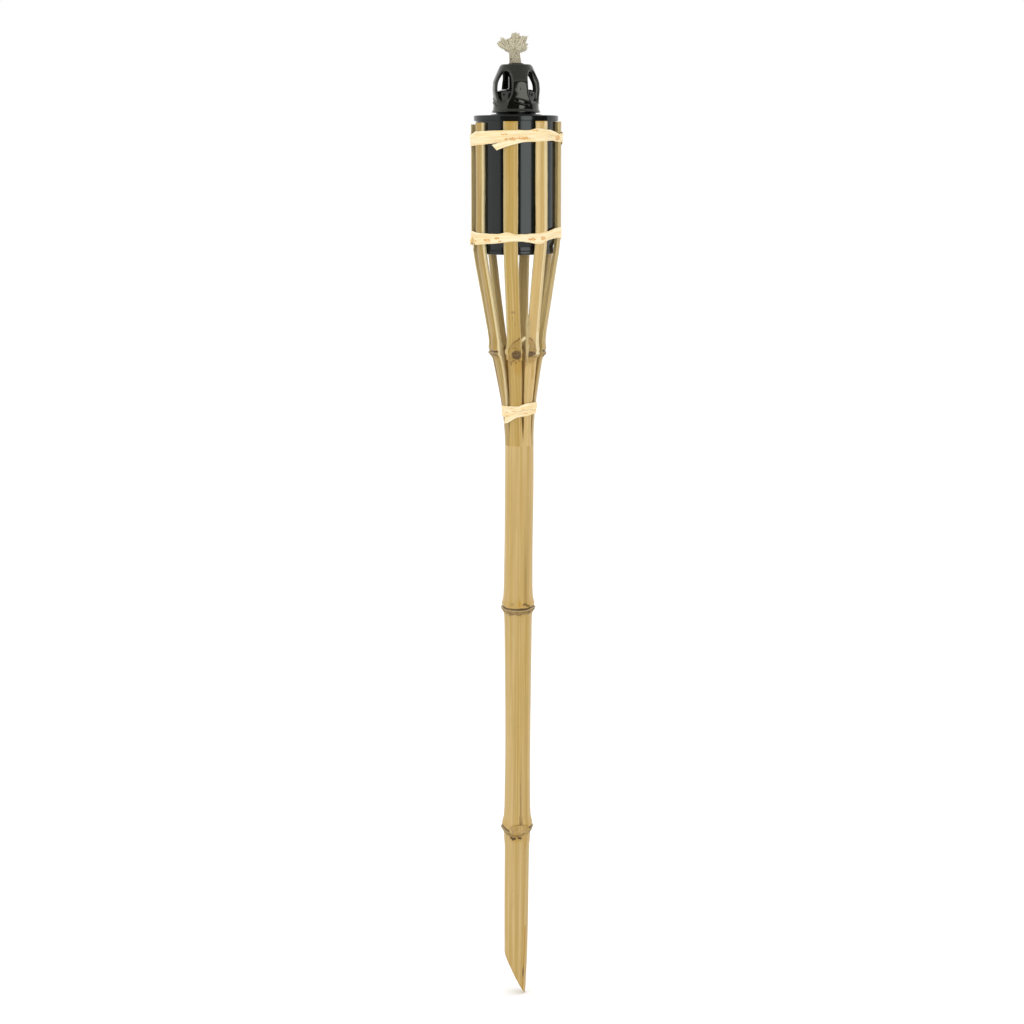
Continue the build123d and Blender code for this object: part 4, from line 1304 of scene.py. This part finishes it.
def make_can_wall():
    wall = Shape()
    foot_r = SEAM_R - 0.2
    outer = rounded(
        [(foot_r, SEAM_TOP_Z), (foot_r, SEAM_TOP_Z + 2.2), (CAN_R, SEAM_TOP_Z + 6.0), (CAN_R, RIM_LOW_Z)],
        [1.2, 2.5],
    )
    bottom, top = outer[-2][1], outer[-1][1]
    upright = [(CAN_R, bottom + (top - bottom) * i / 40) for i in range(1, 41)]
    outer = outer[:-1] + upright
    inner = [(r - SHEET, z) for r, z in reversed(outer)]
    wall.rings(lathe(outer + inner + outer[:1], 224, side_seam))
    wall.make("can_wall", can_enamel, "canister", "black_enamel", "can_body", sharp=50)


def make_can_bottom():
    """The base: a rolled double seam round a dished panel with a stiffening ring."""
    base = Shape()
    seam_in = SEAM_R - 2.0
    seam = rounded(
        [(seam_in - 0.4, BASE_Z + 1.6), (seam_in, BASE_Z + 1.3), (seam_in + 0.1, BASE_Z), (SEAM_R, BASE_Z),
         (SEAM_R, SEAM_TOP_Z), (SEAM_R - 0.5, SEAM_TOP_Z + 0.02), (SEAM_R - 0.5, SEAM_TOP_Z - 0.5)],
        [0.2, 0.7, 0.8, 0.55, 0.1],
    )
    panel = [(0.6, BASE_Z + 1.25), (8, BASE_Z + 1.25), (14.5, BASE_Z + 1.3), (15.3, BASE_Z + 0.85),
             (16.4, BASE_Z + 0.85), (17.2, BASE_Z + 1.35)]
    under = panel + seam
    above = [(SEAM_R - 1.2, BASE_Z + 1.9), (seam_in - 0.2, BASE_Z + 1.95), (17.2, BASE_Z + 1.75),
             (16.4, BASE_Z + 1.25), (15.3, BASE_Z + 1.25), (14.5, BASE_Z + 1.7), (0.6, BASE_Z + 1.65)]
    base.rings(lathe(under + above + under[:1], 192))
    base.make("can_bottom", can_enamel, "canister", "black_enamel", "can_base", sharp=50)


def make_can_top():
    """The lid: a rolled rim, a sloping panel and a raised boss round the neck."""
    lid = Shape()
    rim_in = RIM_R - 2.0
    top = rounded(
        [(RIM_R - 0.9, RIM_LOW_Z + 0.3), (RIM_R - 0.7, RIM_LOW_Z - 0.05), (RIM_R - 0.1, RIM_LOW_Z),
         (RIM_R, LID_Z), (rim_in + 0.2, LID_Z), (rim_in, LID_Z - 1.5),
         (rim_in - 0.8, LID_Z - 1.35), (17.4, LID_Z - 0.25), (16.2, LID_Z),
         (14.9, BOSS_TOP_Z), (NECK_R, BOSS_TOP_Z)],
        [0.1, 0.3, 0.75, 0.5, 0.3, 0.3, 1.0, 0.5, 0.5],
    )
    under = [
        (NECK_R, BOSS_TOP_Z - SHEET), (14.7, BOSS_TOP_Z - SHEET), (16.0, LID_Z - SHEET),
        (17.2, LID_Z - 0.65), (rim_in - 0.7, LID_Z - 1.8), (RIM_R - 1.4, LID_Z - 1.9),
        (RIM_R - 1.3, RIM_LOW_Z + 0.2),
    ]
    lid.rings(lathe(top + under + top[:1], 224, dents))
    lid.make("can_top", can_enamel, "canister", "black_enamel", "can_lid", sharp=50)


make_can_wall()
make_can_bottom()
make_can_top()


def make_neck():
    """The filler neck, soldered into the lid, with its rolled screw thread; lacquered below the thread."""
    neck = Shape()
    top_z, bottom_z, bore_r = high("filler_neck"), low("filler_neck"), 11.0
    thread_z = top_z - 4.6
    outer = [(NECK_R, bottom_z)] + [(NECK_R, z) for z in np.arange(BOSS_TOP_Z, top_z - 0.3, 0.15)]
    lip = rounded([(NECK_R, top_z - 0.3), (NECK_R, top_z), (bore_r, top_z), (bore_r, bottom_z)], [0.2, 0.2])

    def thread(radius, azimuth, z):
        turns = (z - thread_z) / 2.4 - azimuth / 360
        ridge = np.exp(-(((turns + 0.5) % 1 - 0.5) / 0.16) ** 2)
        return 0.45 * ridge * (turns > -0.15) * (turns < 1.45) * (radius > NECK_R - 0.05) * (z > thread_z - 0.6)

    rows = lathe(outer + lip + outer[:1], 192, thread)
    paint = 1 - step(rows[..., 2], thread_z - 0.6, thread_z - 0.3)
    neck.rings(rows, paint=paint)
    neck.make("neck", tinplate, "canister", "tinplate", "filler_neck", sharp=50)


make_neck()
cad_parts["neck_gasket"].data.materials.clear()
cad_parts["neck_gasket"].data.materials.append(rubber)

# ---------------------------------------------------------------------------
# Burner: cap, plate and wick tube
# ---------------------------------------------------------------------------
CAP_LOW_Z = low("burner_cap")
CAP_TOP_Z = CAP_LIP_Z - 0.6
CAP_SHEET = 0.6
LIP_BORE_R = 3.9
CAP_SIDE_R = 13.5             # the radius at which the cap's wall is unrolled
WALL_LOW_Z = CAP_LOW_Z + 1.9  # where the wall meets the hem, and where it meets the top
WALL_HIGH_Z = CAP_LOW_Z + 27.0
WINDOWS = [-34.0, 56.0, 146.0, 236.0]
WINDOW_SHIFTS = [0.0, 0.0, 2.2, 1.5]     # how far each window was punched to the right of its place
WINDOW_Z = CAP_LOW_Z + 15.2
WINDOW_HALF_WIDTH = 5.75
WINDOW_HALF_HEIGHT = 9.0
PANEL_FLATNESS = 0.62        # how far each panel between windows is pressed flat
LOUVRE_AZIMUTH = 50.0         # from its window's middle to the louvre's
LOUVRE_Z = CAP_LOW_Z + 6.2
LOUVRE_TILT = 15.0
PLATE_Z = low("burner_plate")
PLATE_HIGH = WINDOW_Z - 1.7 - PLATE_Z

cap_radius = Curve(
    (WALL_LOW_Z, 13.75), (CAP_LOW_Z + 4.5, 13.6), (CAP_LOW_Z + 9, 14.0), (CAP_LOW_Z + 13.5, 14.5),
    (CAP_LOW_Z + 17, 14.1), (CAP_LOW_Z + 20.5, 12.75), (CAP_LOW_Z + 24, 11.2), (WALL_HIGH_Z, 9.85),
)


def louvre_relief(across, z):
    """How a lanced louvre stands out of the skirt, and how deep in its slot a point is."""
    tilt = math.radians(LOUVRE_TILT)
    up = z - LOUVRE_Z
    along = across * math.cos(tilt) - up * math.sin(tilt)
    over = across * math.sin(tilt) + up * math.cos(tilt)
    reach_share = np.sqrt(np.clip(1 - (along / 4.9) ** 2, 0, 1))
    slot_half = 0.55 * np.sqrt(np.clip(1 - (along / 4.2) ** 2, 0, 1))
    slot = (1 - step(np.abs(over - 0.1), slot_half * 0.75, slot_half + 0.2)) * (slot_half > 0)
    below = np.exp(-((over + 1.15) / 0.6) ** 2) * reach_share
    above = np.exp(-((over - 0.95) / 0.4) ** 2) * reach_share
    return 0.75 * below + 0.7 * above - 1.1 * slot, slot


def pressed_flat(radius, azimuth, z):
    """How far the panel between two windows is pushed in by its flattened pad."""
    away = (azimuth - WINDOWS[0]) % 90 - 45
    flat = radius * math.cos(math.radians(21)) / np.cos(np.radians(away))
    held = step(z, CAP_LOW_Z + 3.5, CAP_LOW_Z + 7) * (1 - step(z, CAP_LOW_Z + 14.5, CAP_LOW_Z + 20))
    held = held * (1 - step(np.abs(away), 22, 36))
    return (flat - radius) * held * PANEL_FLATNESS


def window_panel(window, shift):
    """A quarter of the cap's wall as rings between its window's rolled edge and the quarter's border."""
    columns, rings = 232, 30
    half_wide = CAP_SIDE_R * math.radians(45)
    # points evenly round the border, from the middle of its right side, anticlockwise
    tall, wide = WALL_HIGH_Z - WALL_LOW_Z, 2 * half_wide
    per_tall = round(columns * tall / (2 * (tall + wide)))
    per_wide = columns // 2 - per_tall
    right = [(half_wide, WALL_LOW_Z + tall * i / per_tall) for i in range(per_tall)]
    top = [(half_wide - wide * i / per_wide, WALL_HIGH_Z) for i in range(per_wide)]
    left = [(-half_wide, WALL_HIGH_Z - tall * i / per_tall) for i in range(per_tall)]
    bottom = [(-half_wide + wide * i / per_wide, WALL_LOW_Z) for i in range(per_wide)]
    border = np.array(right + top + left + bottom)
    angle = np.arctan2((border[:, 1] - WINDOW_Z) / WINDOW_HALF_HEIGHT, border[:, 0] / WINDOW_HALF_WIDTH)
    power = 2 / 2.25
    edge = np.stack([
        shift + WINDOW_HALF_WIDTH * np.sign(np.cos(angle)) * np.abs(np.cos(angle)) ** power,
        WINDOW_Z + WINDOW_HALF_HEIGHT * np.sign(np.sin(angle)) * np.abs(np.sin(angle)) ** power,
    ], -1)
    share = (np.linspace(0, 1, rings) ** 1.25)[:, None, None]
    flat = edge[None] * (1 - share) + border[None] * share
    from_edge = np.hypot(*(np.moveaxis(flat - edge[None], -1, 0)))
    across, z = flat[..., 0], flat[..., 1]
    dish = 0.7 * np.clip(1 - from_edge / 1.25, 0, 1) ** 1.3
    azimuth = window + np.degrees(across / CAP_SIDE_R)
    radius = cap_radius(z) + pressed_flat(cap_radius(z), azimuth, z) - dish
    soot = np.zeros(z.shape)
    for side in (LOUVRE_AZIMUTH, LOUVRE_AZIMUTH - 90):
        relief, slot = louvre_relief(across - CAP_SIDE_R * math.radians(side), z)
        relief, slot = relief * step(from_edge, 0.4, 1.6), slot * step(from_edge, 0.4, 1.6)
        radius = radius + relief
        # painted shade: the louvre's slot is painted black, for the dark inside the cap
        soot = np.maximum(soot, slot)
    outer = polar(radius, azimuth, z)
    # the edge rolls in towards the flame
    roll = []
    for inwards, shrink in ((0.2, 0.14), (0.42, 0.2), (0.66, 0.2), (0.78, 0.08), (0.75, -0.05)):
        scale = 1 - shrink / WINDOW_HALF_WIDTH
        roll_z = WINDOW_Z + (edge[:, 1] - WINDOW_Z) * (1 - shrink / WINDOW_HALF_HEIGHT)
        roll_azimuth = window + np.degrees((shift + (edge[:, 0] - shift) * scale) / CAP_SIDE_R)
        roll.append(polar(radius[0] - inwards, roll_azimuth, roll_z))
    inner_r = cap_radius(z) - np.minimum(dish, 0.9) - CAP_SHEET
    inner_r[0] = radius[0] - 0.85
    inner = polar(inner_r, azimuth, z)
    rows = np.concatenate([outer[::-1], np.array(roll), inner])
    painted = np.concatenate([soot[::-1], np.zeros((len(roll), columns)), np.zeros(inner.shape[:2])])
    return rows, painted, z[-1]


def make_cap():
    """The pressed cap: four windowed quarters, its shoulder and lip, and its flared hem."""
    cap = Shape()
    for window, shift in zip(WINDOWS, WINDOW_SHIFTS):
        rows, painted, border_z = window_panel(window, shift)
        cap.rings(rows, soot=painted)
    # the top and the hem have the points of the four panels' borders
    columns = 4 * (int(np.sum(np.abs(border_z - WALL_HIGH_Z) < 1e-6)) - 1)
    shoulder_r = float(cap_radius(WALL_HIGH_Z))
    top = rounded(
        [(shoulder_r, WALL_HIGH_Z), (8.85, CAP_TOP_Z - 0.15), (LIP_BORE_R + 0.75, CAP_TOP_Z),
         (LIP_BORE_R + 0.6, CAP_LIP_Z), (LIP_BORE_R, CAP_LIP_Z), (LIP_BORE_R, CAP_TOP_Z - CAP_SHEET),
         (8.1, CAP_TOP_Z - CAP_SHEET - 0.1), (shoulder_r - CAP_SHEET, WALL_HIGH_Z)],
        [0.9, 0.3, 0.25, 0.2, 0.1, 0.4],
    )
    skirt_r = float(cap_radius(WALL_LOW_Z))
    hem = rounded(
        [(skirt_r - CAP_SHEET, WALL_LOW_Z), (skirt_r - CAP_SHEET + 0.05, CAP_LOW_Z + 1.3),
         (14.0, CAP_LOW_Z), (14.5, CAP_LOW_Z), (14.5, CAP_LOW_Z + 0.55), (skirt_r, WALL_LOW_Z)],
        [0.3, 0.15, 0.25, 0.35],
    )
    for profile in (top, hem):
        rows = lathe(profile, columns, start=WINDOWS[0] - 45)
        cap.rings(rows, soot=np.zeros(rows.shape[:2]))
    piece = cap.make("cap_shell", burner_enamel, "burner", "burner_enamel", "burner_cap", sharp=60)
    weld(piece)


def weld(piece, gap=0.004):
    """Joins points that coincide, so that neighbouring parts of a surface shade as one."""
    mesh = bmesh.new()
    mesh.from_mesh(piece.data)
    bmesh.ops.remove_doubles(mesh, verts=mesh.verts, dist=gap * MM)
    bmesh.ops.recalc_face_normals(mesh, faces=mesh.faces)
    mesh.to_mesh(piece.data)
    mesh.free()


def make_burner_plate():
    """The domed plate under the flame, with pressed lumps and four draught holes."""
    plate = Shape()
    outer = rounded(
        [(13.0, PLATE_Z), (13.0, PLATE_Z + 0.4), (12.0, PLATE_Z + 0.5), (11.6, PLATE_Z + PLATE_HIGH - 1.2),
         (9.0, PLATE_Z + PLATE_HIGH), (5.6, PLATE_Z + PLATE_HIGH), (5.0, PLATE_Z + PLATE_HIGH + 0.9),
         (4.66, PLATE_Z + PLATE_HIGH + 0.9)],
        [0.1, 0.4, 1.6, 1.2, 0.5, 0.1],
    )
    fine = []
    for (r0, z0), (r1, z1) in zip(outer, outer[1:]):
        count = max(1, round(math.hypot(r1 - r0, z1 - z0) / 0.3))
        fine += [(r0 + (r1 - r0) * i / count, z0 + (z1 - z0) * i / count) for i in range(count)]
    outer = fine + [outer[-1]]
    inner = [
        (4.66, PLATE_Z + PLATE_HIGH - 0.5), (9.0, PLATE_Z + PLATE_HIGH - 0.6),
        (11.0, PLATE_Z + PLATE_HIGH - 1.8), (11.4, PLATE_Z),
    ]
    profile = outer + inner
    azimuth = np.arange(200) * 1.8
    radius, z = upright(profile)
    lumps = np.zeros((len(profile), 200))
    holes = np.zeros((len(profile), 200))
    for i in range(8):
        middle = -32 + 45 * i
        away = away_from(azimuth[None, :], middle)
        across, up = np.radians(away) * 11.5, z - (PLATE_Z + PLATE_HIGH - 3.2)
        if i % 2:
            lumps += 0.5 * np.exp(-((across / 2.0) ** 2) - (up / 1.5) ** 2)
        else:
            lumps += 0.45 * np.exp(-(((across - 1.8) / 1.2) ** 2) - ((up + 0.6) / 1.6) ** 2)
            # painted shade: each draught hole is a dent painted black, for the dark beneath the plate
            hole = 1 - step(np.hypot(across + 1.1, up - 0.2), 0.5, 0.95)
            lumps -= 0.9 * hole
            holes = np.maximum(holes, hole)
    wall = np.arange(len(profile))[:, None] < len(outer)
    rows = polar(radius + lumps * wall * 0.7, azimuth[None, :], z + lumps * wall * 0.7)
    plate.rings(np.concatenate([rows, rows[:1]]), soot=np.concatenate([holes * wall, holes[:1] * 0]))
    plate.make("burner_dome", burner_enamel, "burner", "burner_enamel", "burner_plate", sharp=60)


def make_tube():
    """The wick tube, rolled from sheet, with its seam and a turned-out lip."""
    tube = Shape()
    low_z, high_z = low("wick_tube"), high("wick_tube")
    outer_r, bore_r = reach("wick_tube"), 4.0
    profile = rounded(
        [(bore_r, low_z), (outer_r, low_z), (outer_r, high_z - 1.2), (outer_r + 0.15, high_z),
         (bore_r, high_z), (bore_r, low_z)],
        [0.15, 0.5, 0.25, 0.2],
    )

    def seam(radius, azimuth, z):
        offset = np.abs(away_from(azimuth, 140))
        return -0.18 * (1 - step(offset, 1.5, 4)) * (radius > bore_r + 0.2)

    rows = lathe(profile, 144, seam)
    tube.rings(rows, soot=np.zeros(rows.shape[:2]))
    tube.make("tube", burner_enamel, "burner", "burner_enamel", "wick_tube", sharp=50)


make_cap()
make_burner_plate()
make_tube()
# ---------------------------------------------------------------------------
# Floor, backdrop and light
# ---------------------------------------------------------------------------


def make_floor():
    white = Shader("floor", Base_Color=(0.93, 0.93, 0.93, 1), Roughness=0.9, Specular_IOR_Level=0.1)
    under_tip = (0, 0, (TIP_Z - 0.3) * MM)
    bpy.ops.mesh.primitive_circle_add(vertices=96, radius=12, fill_type="NGON", location=under_tip)
    floor = bpy.context.object
    floor.name = "floor"
    floor.data.materials.append(white.material)
    floor.visible_glossy = False


def make_studio():
    """White surroundings with a dark gap where the camera stands and a brighter window to its right."""
    world = bpy.data.worlds.new("studio")
    bpy.context.scene.world = world
    world.use_nodes = True
    tree = world.node_tree
    tree.nodes.clear()

    def node(kind, inputs=(), output=0, **settings):
        return add_node(tree, kind, inputs, output, **settings)

    def calculate(operation, *values):
        return node("Math", dict(enumerate(values)), operation=operation)

    def ramp(value, start, end, low, high, **settings):
        limits = {"Value": value, "From Min": start, "From Max": end, "To Min": low, "To Max": high}
        return node("MapRange", limits, **settings)

    direction = node("TexCoord", output="Generated")
    parts = node("SeparateXYZ", {0: direction}).node.outputs
    # azimuth in turns from the front, to the right
    turn = calculate("ARCTAN2", parts["X"], calculate("MULTIPLY", parts["Y"], -1.0))
    degrees = calculate("MULTIPLY", turn, 180 / math.pi)

    def window(value, start, end, soft):
        rise = ramp(value, start - soft, start + soft, 0.0, 1.0, interpolation_type="SMOOTHSTEP")
        fall = ramp(value, end - soft, end + soft, 1.0, 0.0, interpolation_type="SMOOTHSTEP")
        return calculate("MULTIPLY", rise, fall)

    dark = calculate("MULTIPLY", window(degrees, -45, 94, 3), window(parts["Z"], -0.6, 0.45, 0.06))
    aside = ramp(degrees, 12.5, 44.5, -1.0, 1.0, clamp=False)
    aloft = ramp(parts["Z"], -0.38, 0.33, -1.0, 1.0, clamp=False)
    away = calculate("ADD", calculate("MULTIPLY", aside, aside), calculate("MULTIPLY", aloft, aloft))
    bright = ramp(away, 0.72, 1.12, 1.0, 0.0, interpolation_type="SMOOTHSTEP")
    ceiling = ramp(parts["Z"], 0.45, 0.8, 0.0, 0.5)
    level = calculate("SUBTRACT", 1.05, calculate("MULTIPLY", dark, 1.02))
    level = calculate("ADD", level, calculate("MULTIPLY", bright, 2.8))
    level = calculate("SUBTRACT", level, ceiling)
    studio = node("Background", {"Color": (1, 1, 1, 1), "Strength": level})
    plain = node("Background", {"Color": (1, 1, 1, 1), "Strength": 1.0})
    seen = node("LightPath")
    chosen = node("MixShader", {0: seen, 1: studio, 2: plain})
    output = tree.nodes.new("ShaderNodeOutputWorld")
    tree.links.new(chosen, output.inputs["Surface"])


def add_light(name, place, size, power):
    """A square lamp that looks at the basket."""
    data = bpy.data.lights.new(name, "AREA")
    data.size = size
    data.energy = power
    lamp = bpy.data.objects.new(name, data)
    lamp.location = place
    aim = Vector((0, 0, 0.25)) - Vector(place)
    lamp.rotation_mode = "QUATERNION"
    lamp.rotation_quaternion = aim.to_track_quat("-Z", "Y")
    lamp.visible_glossy = False
    bpy.context.scene.collection.objects.link(lamp)


def add_sun(power):
    """A broad, soft light from straight above that keeps the floor as white as the backdrop."""
    data = bpy.data.lights.new("overhead", "SUN")
    data.angle = math.radians(70)
    data.energy = power
    lamp = bpy.data.objects.new("overhead", data)
    lamp.visible_glossy = False
    bpy.context.scene.collection.objects.link(lamp)


make_floor()
make_studio()
add_sun(1.7)
add_light("key", (-1.2, -1.9, 1.5), 0.9, 7.8)
add_light("fill", (1.6, -1.5, 0.7), 1.2, 4)
bpy.context.scene.view_settings.view_transform = "Standard"
